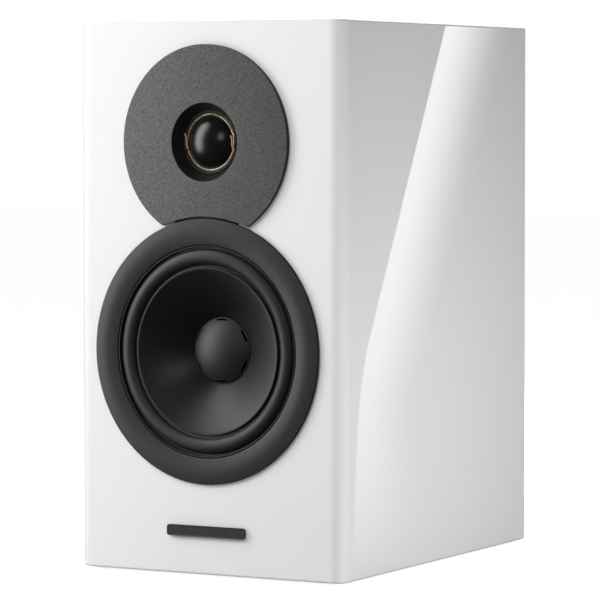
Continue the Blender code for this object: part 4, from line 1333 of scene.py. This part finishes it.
def lay_floor():
    """A plain pale floor that looks as bright as the background and isn't mirrored."""
    put_tools_down()
    bpy.ops.mesh.primitive_plane_add(size=14, location=(0, 0, 0))
    floor = named("floor")
    w, shader = blank_finish("pale_floor")
    place = w.node("ShaderNodeTexCoord").outputs["Object"]
    speck = w.place("Fine grain", Vector=place, Grains_per_metre=40.0)
    tone = w.mixed(speck["Fleck"], (0.55, 0.55, 0.55, 1), (0.54, 0.54, 0.54, 1))
    w.tree.links.new(tone, shader.inputs["Base Color"])
    shader.inputs["Roughness"].default_value = 0.9
    shader.inputs["Specular IOR Level"].default_value = 0.0
    shader.inputs["Emission Color"].default_value = (1, 1, 1, 1)
    seen = w.node("ShaderNodeLightPath").outputs["Is Camera Ray"]
    w.tree.links.new(w.maths("MULTIPLY", seen, 0.90), shader.inputs["Emission Strength"])
    coat(floor, "pale_floor")
    floor.visible_glossy = False


def light_sky(scene):
    """A white surround, bright to the camera, dim as a light and dimmer still in gloss."""
    world = bpy.data.worlds.new("Studio")
    scene.world = world
    world.use_nodes = True
    w = Wiring(world.node_tree)
    sky = world.node_tree.nodes["Background"]
    sky.inputs["Color"].default_value = (1, 1, 1, 1)
    path = w.node("ShaderNodeLightPath").outputs
    seen = w.maths("ADD", w.maths("MULTIPLY", path["Is Camera Ray"], 0.86), 0.16)
    dimmed = w.maths("SUBTRACT", seen, w.maths("MULTIPLY", path["Is Glossy Ray"], 0.13))
    w.tree.links.new(dimmed, sky.inputs["Strength"])


def strip_lights(power, target):
    """The tall strip, twice: one lights the shell, unmirrored, and the other the rest."""
    shell = bpy.data.objects["cabinet_shell"]
    for name, state in (("strip_light", "EXCLUDE"), ("shell_strip_light", "INCLUDE")):
        mirrored = state == "EXCLUDE"
        strip = soft_light(name, target, -58, 17, 0.78, (0.42, 1.04), power, mirrored)
        receivers = bpy.data.collections.new(name + "_receivers")
        receivers.objects.link(shell)
        receivers.collection_objects[0].light_linking.link_state = state
        strip.light_linking.receiver_collection = receivers


def set_lights(settings):
    """Six soft lights: at the left, in front twice, right, behind and close to the floor."""
    middle = Vector((0, (FRONT + REAR) / 2, 0.16))
    face = Vector((0, FRONT, 0.19))
    foot = Vector((0.08, FRONT + 0.13, 0.03))
    unmirrored = {"mirrored": False}
    strip_lights(settings.strip_power, face)
    soft_light("key_light", face, 24, 20, 2.2, (0.11, 0.11), settings.key_power)
    soft_light("fill_light", face, -10, 30, 1.2, (0.6, 0.6), settings.fill_power, **unmirrored)
    soft_light("right_light", middle, 106, -2, 1.5, (0.9, 0.4), settings.right_power, **unmirrored)
    soft_light("rear_light", middle, 214, 34, 1.3, (1.6, 1.2), settings.rear_power)
    soft_light("low_light", foot, 88, 4, 0.38, (0.4, 0.1), settings.low_power, **unmirrored)


def set_camera(scene, settings):
    """A long lens, low and to the right of the cabinet."""
    put_tools_down()
    aim_at = Vector((0.0044446, FRONT + 0.090, UNDERSIDE + 0.1518509))
    place = around(aim_at, settings.azimuth, settings.elevation, settings.distance)
    bpy.ops.object.camera_add(location=place)
    camera = named("camera")
    camera.data.sensor_width = 36
    camera.data.lens = settings.lens
    camera.data.clip_start = 0.05
    camera.data.clip_end = 60
    aim(camera, aim_at)
    scene.camera = camera
    scene.view_settings.view_transform = "Standard"


def build_studio(scene):
    settings = scene.speaker_studio
    lay_floor()
    light_sky(scene)
    set_lights(settings)
    side_card(settings)
    set_camera(scene, settings)


# ---------------------------------------------------------------- operators


class SPEAKER_OT_mix_finishes(bpy.types.Operator):
    """Make the lacquer, metal, rubber, cloth and plastic finishes"""

    bl_idname = "speaker.mix_finishes"
    bl_label = "Mix Finishes"

    def execute(self, context):
        mix_finishes(context.scene)
        return {"FINISHED"}


class SPEAKER_OT_cabinet(bpy.types.Operator):
    """Model the lacquered cabinet shell"""

    bl_idname = "speaker.cabinet"
    bl_label = "Cabinet"

    def execute(self, context):
        model_cabinet(context.scene.speaker_cabinet)
        return {"FINISHED"}


class SPEAKER_OT_feet(bpy.types.Operator):
    """Model the four rubber pads"""

    bl_idname = "speaker.feet"
    bl_label = "Rubber Pads"

    def execute(self, context):
        model_feet()
        return {"FINISHED"}


class SPEAKER_OT_badge(bpy.types.Operator):
    """Model the plain bar on the front"""

    bl_idname = "speaker.badge"
    bl_label = "Plain Bar"

    def execute(self, context):
        model_badge()
        return {"FINISHED"}


class SPEAKER_OT_woofer(bpy.types.Operator):
    """Model the woofer's trim ring, surround, cone and dust cap"""

    bl_idname = "speaker.woofer"
    bl_label = "Woofer"

    def execute(self, context):
        settings = context.scene.speaker_woofer
        model_woofer_ring()
        model_woofer_surround(settings)
        model_woofer_cone(settings)
        return {"FINISHED"}


class SPEAKER_OT_tweeter(bpy.types.Operator):
    """Model the tweeter's face plate, dome, coil former, roll and leads"""

    bl_idname = "speaker.tweeter"
    bl_label = "Tweeter"

    def execute(self, context):
        model_tweeter_plate()
        model_tweeter_dome()
        model_tweeter_leads(context.scene.speaker_tweeter)
        return {"FINISHED"}


class SPEAKER_OT_port(bpy.types.Operator):
    """Model the flared reflex port"""

    bl_idname = "speaker.port"
    bl_label = "Reflex Port"

    def execute(self, context):
        model_port()
        return {"FINISHED"}


class SPEAKER_OT_terminals(bpy.types.Operator):
    """Model the terminal plate, its screws and the two binding posts"""

    bl_idname = "speaker.terminals"
    bl_label = "Terminals"

    def execute(self, context):
        model_terminal_plate()
        model_binding_posts(context.scene.speaker_terminals)
        return {"FINISHED"}


class SPEAKER_OT_damping(bpy.types.Operator):
    """Model the foam pad inside the cabinet"""

    bl_idname = "speaker.damping"
    bl_label = "Damping Pad"

    def execute(self, context):
        model_damping()
        return {"FINISHED"}


class SPEAKER_OT_inner_parts(bpy.types.Operator):
    """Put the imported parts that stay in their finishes"""

    bl_idname = "speaker.inner_parts"
    bl_label = "Inner Parts"

    def execute(self, context):
        finish_inner_parts(frame["record"])
        return {"FINISHED"}


class SPEAKER_OT_studio(bpy.types.Operator):
    """Set up the floor, the lights and the camera"""

    bl_idname = "speaker.studio"
    bl_label = "Studio"

    def execute(self, context):
        build_studio(context.scene)
        return {"FINISHED"}


OPERATORS = (
    SPEAKER_OT_mix_finishes,
    SPEAKER_OT_inner_parts,
    SPEAKER_OT_cabinet,
    SPEAKER_OT_feet,
    SPEAKER_OT_badge,
    SPEAKER_OT_woofer,
    SPEAKER_OT_tweeter,
    SPEAKER_OT_port,
    SPEAKER_OT_terminals,
    SPEAKER_OT_damping,
    SPEAKER_OT_studio,
)

SETTINGS = {
    "speaker_cabinet": CabinetSettings,
    "speaker_woofer": WooferSettings,
    "speaker_tweeter": TweeterSettings,
    "speaker_terminals": TerminalSettings,
    "speaker_studio": StudioSettings,
}


class SPEAKER_PT_panel(bpy.types.Panel):
    bl_label = "Loudspeaker"
    bl_idname = "SPEAKER_PT_panel"
    bl_space_type = "VIEW_3D"
    bl_region_type = "UI"
    bl_category = "Loudspeaker"

    def draw(self, context):
        for name, group in SETTINGS.items():
            box = self.layout.box()
            box.label(text=group.__name__.replace("Settings", ""))
            for key in group.__annotations__:
                box.prop(getattr(context.scene, name), key)
        for operator in OPERATORS:
            self.layout.operator(operator.bl_idname)


def register():
    for group in SETTINGS.values():
        bpy.utils.register_class(group)
    for name, group in SETTINGS.items():
        setattr(bpy.types.Scene, name, bpy.props.PointerProperty(type=group))
    for operator in OPERATORS:
        bpy.utils.register_class(operator)
    bpy.utils.register_class(SPEAKER_PT_panel)


def unregister():
    bpy.utils.unregister_class(SPEAKER_PT_panel)
    for operator in reversed(OPERATORS):
        bpy.utils.unregister_class(operator)
    for name in SETTINGS:
        delattr(bpy.types.Scene, name)
    for group in reversed(SETTINGS.values()):
        bpy.utils.unregister_class(group)


def main():
    register()
    for operator in OPERATORS:
        group, name = operator.bl_idname.split(".")
        getattr(getattr(bpy.ops, group), name)()


if __name__ == "__main__":
    main()
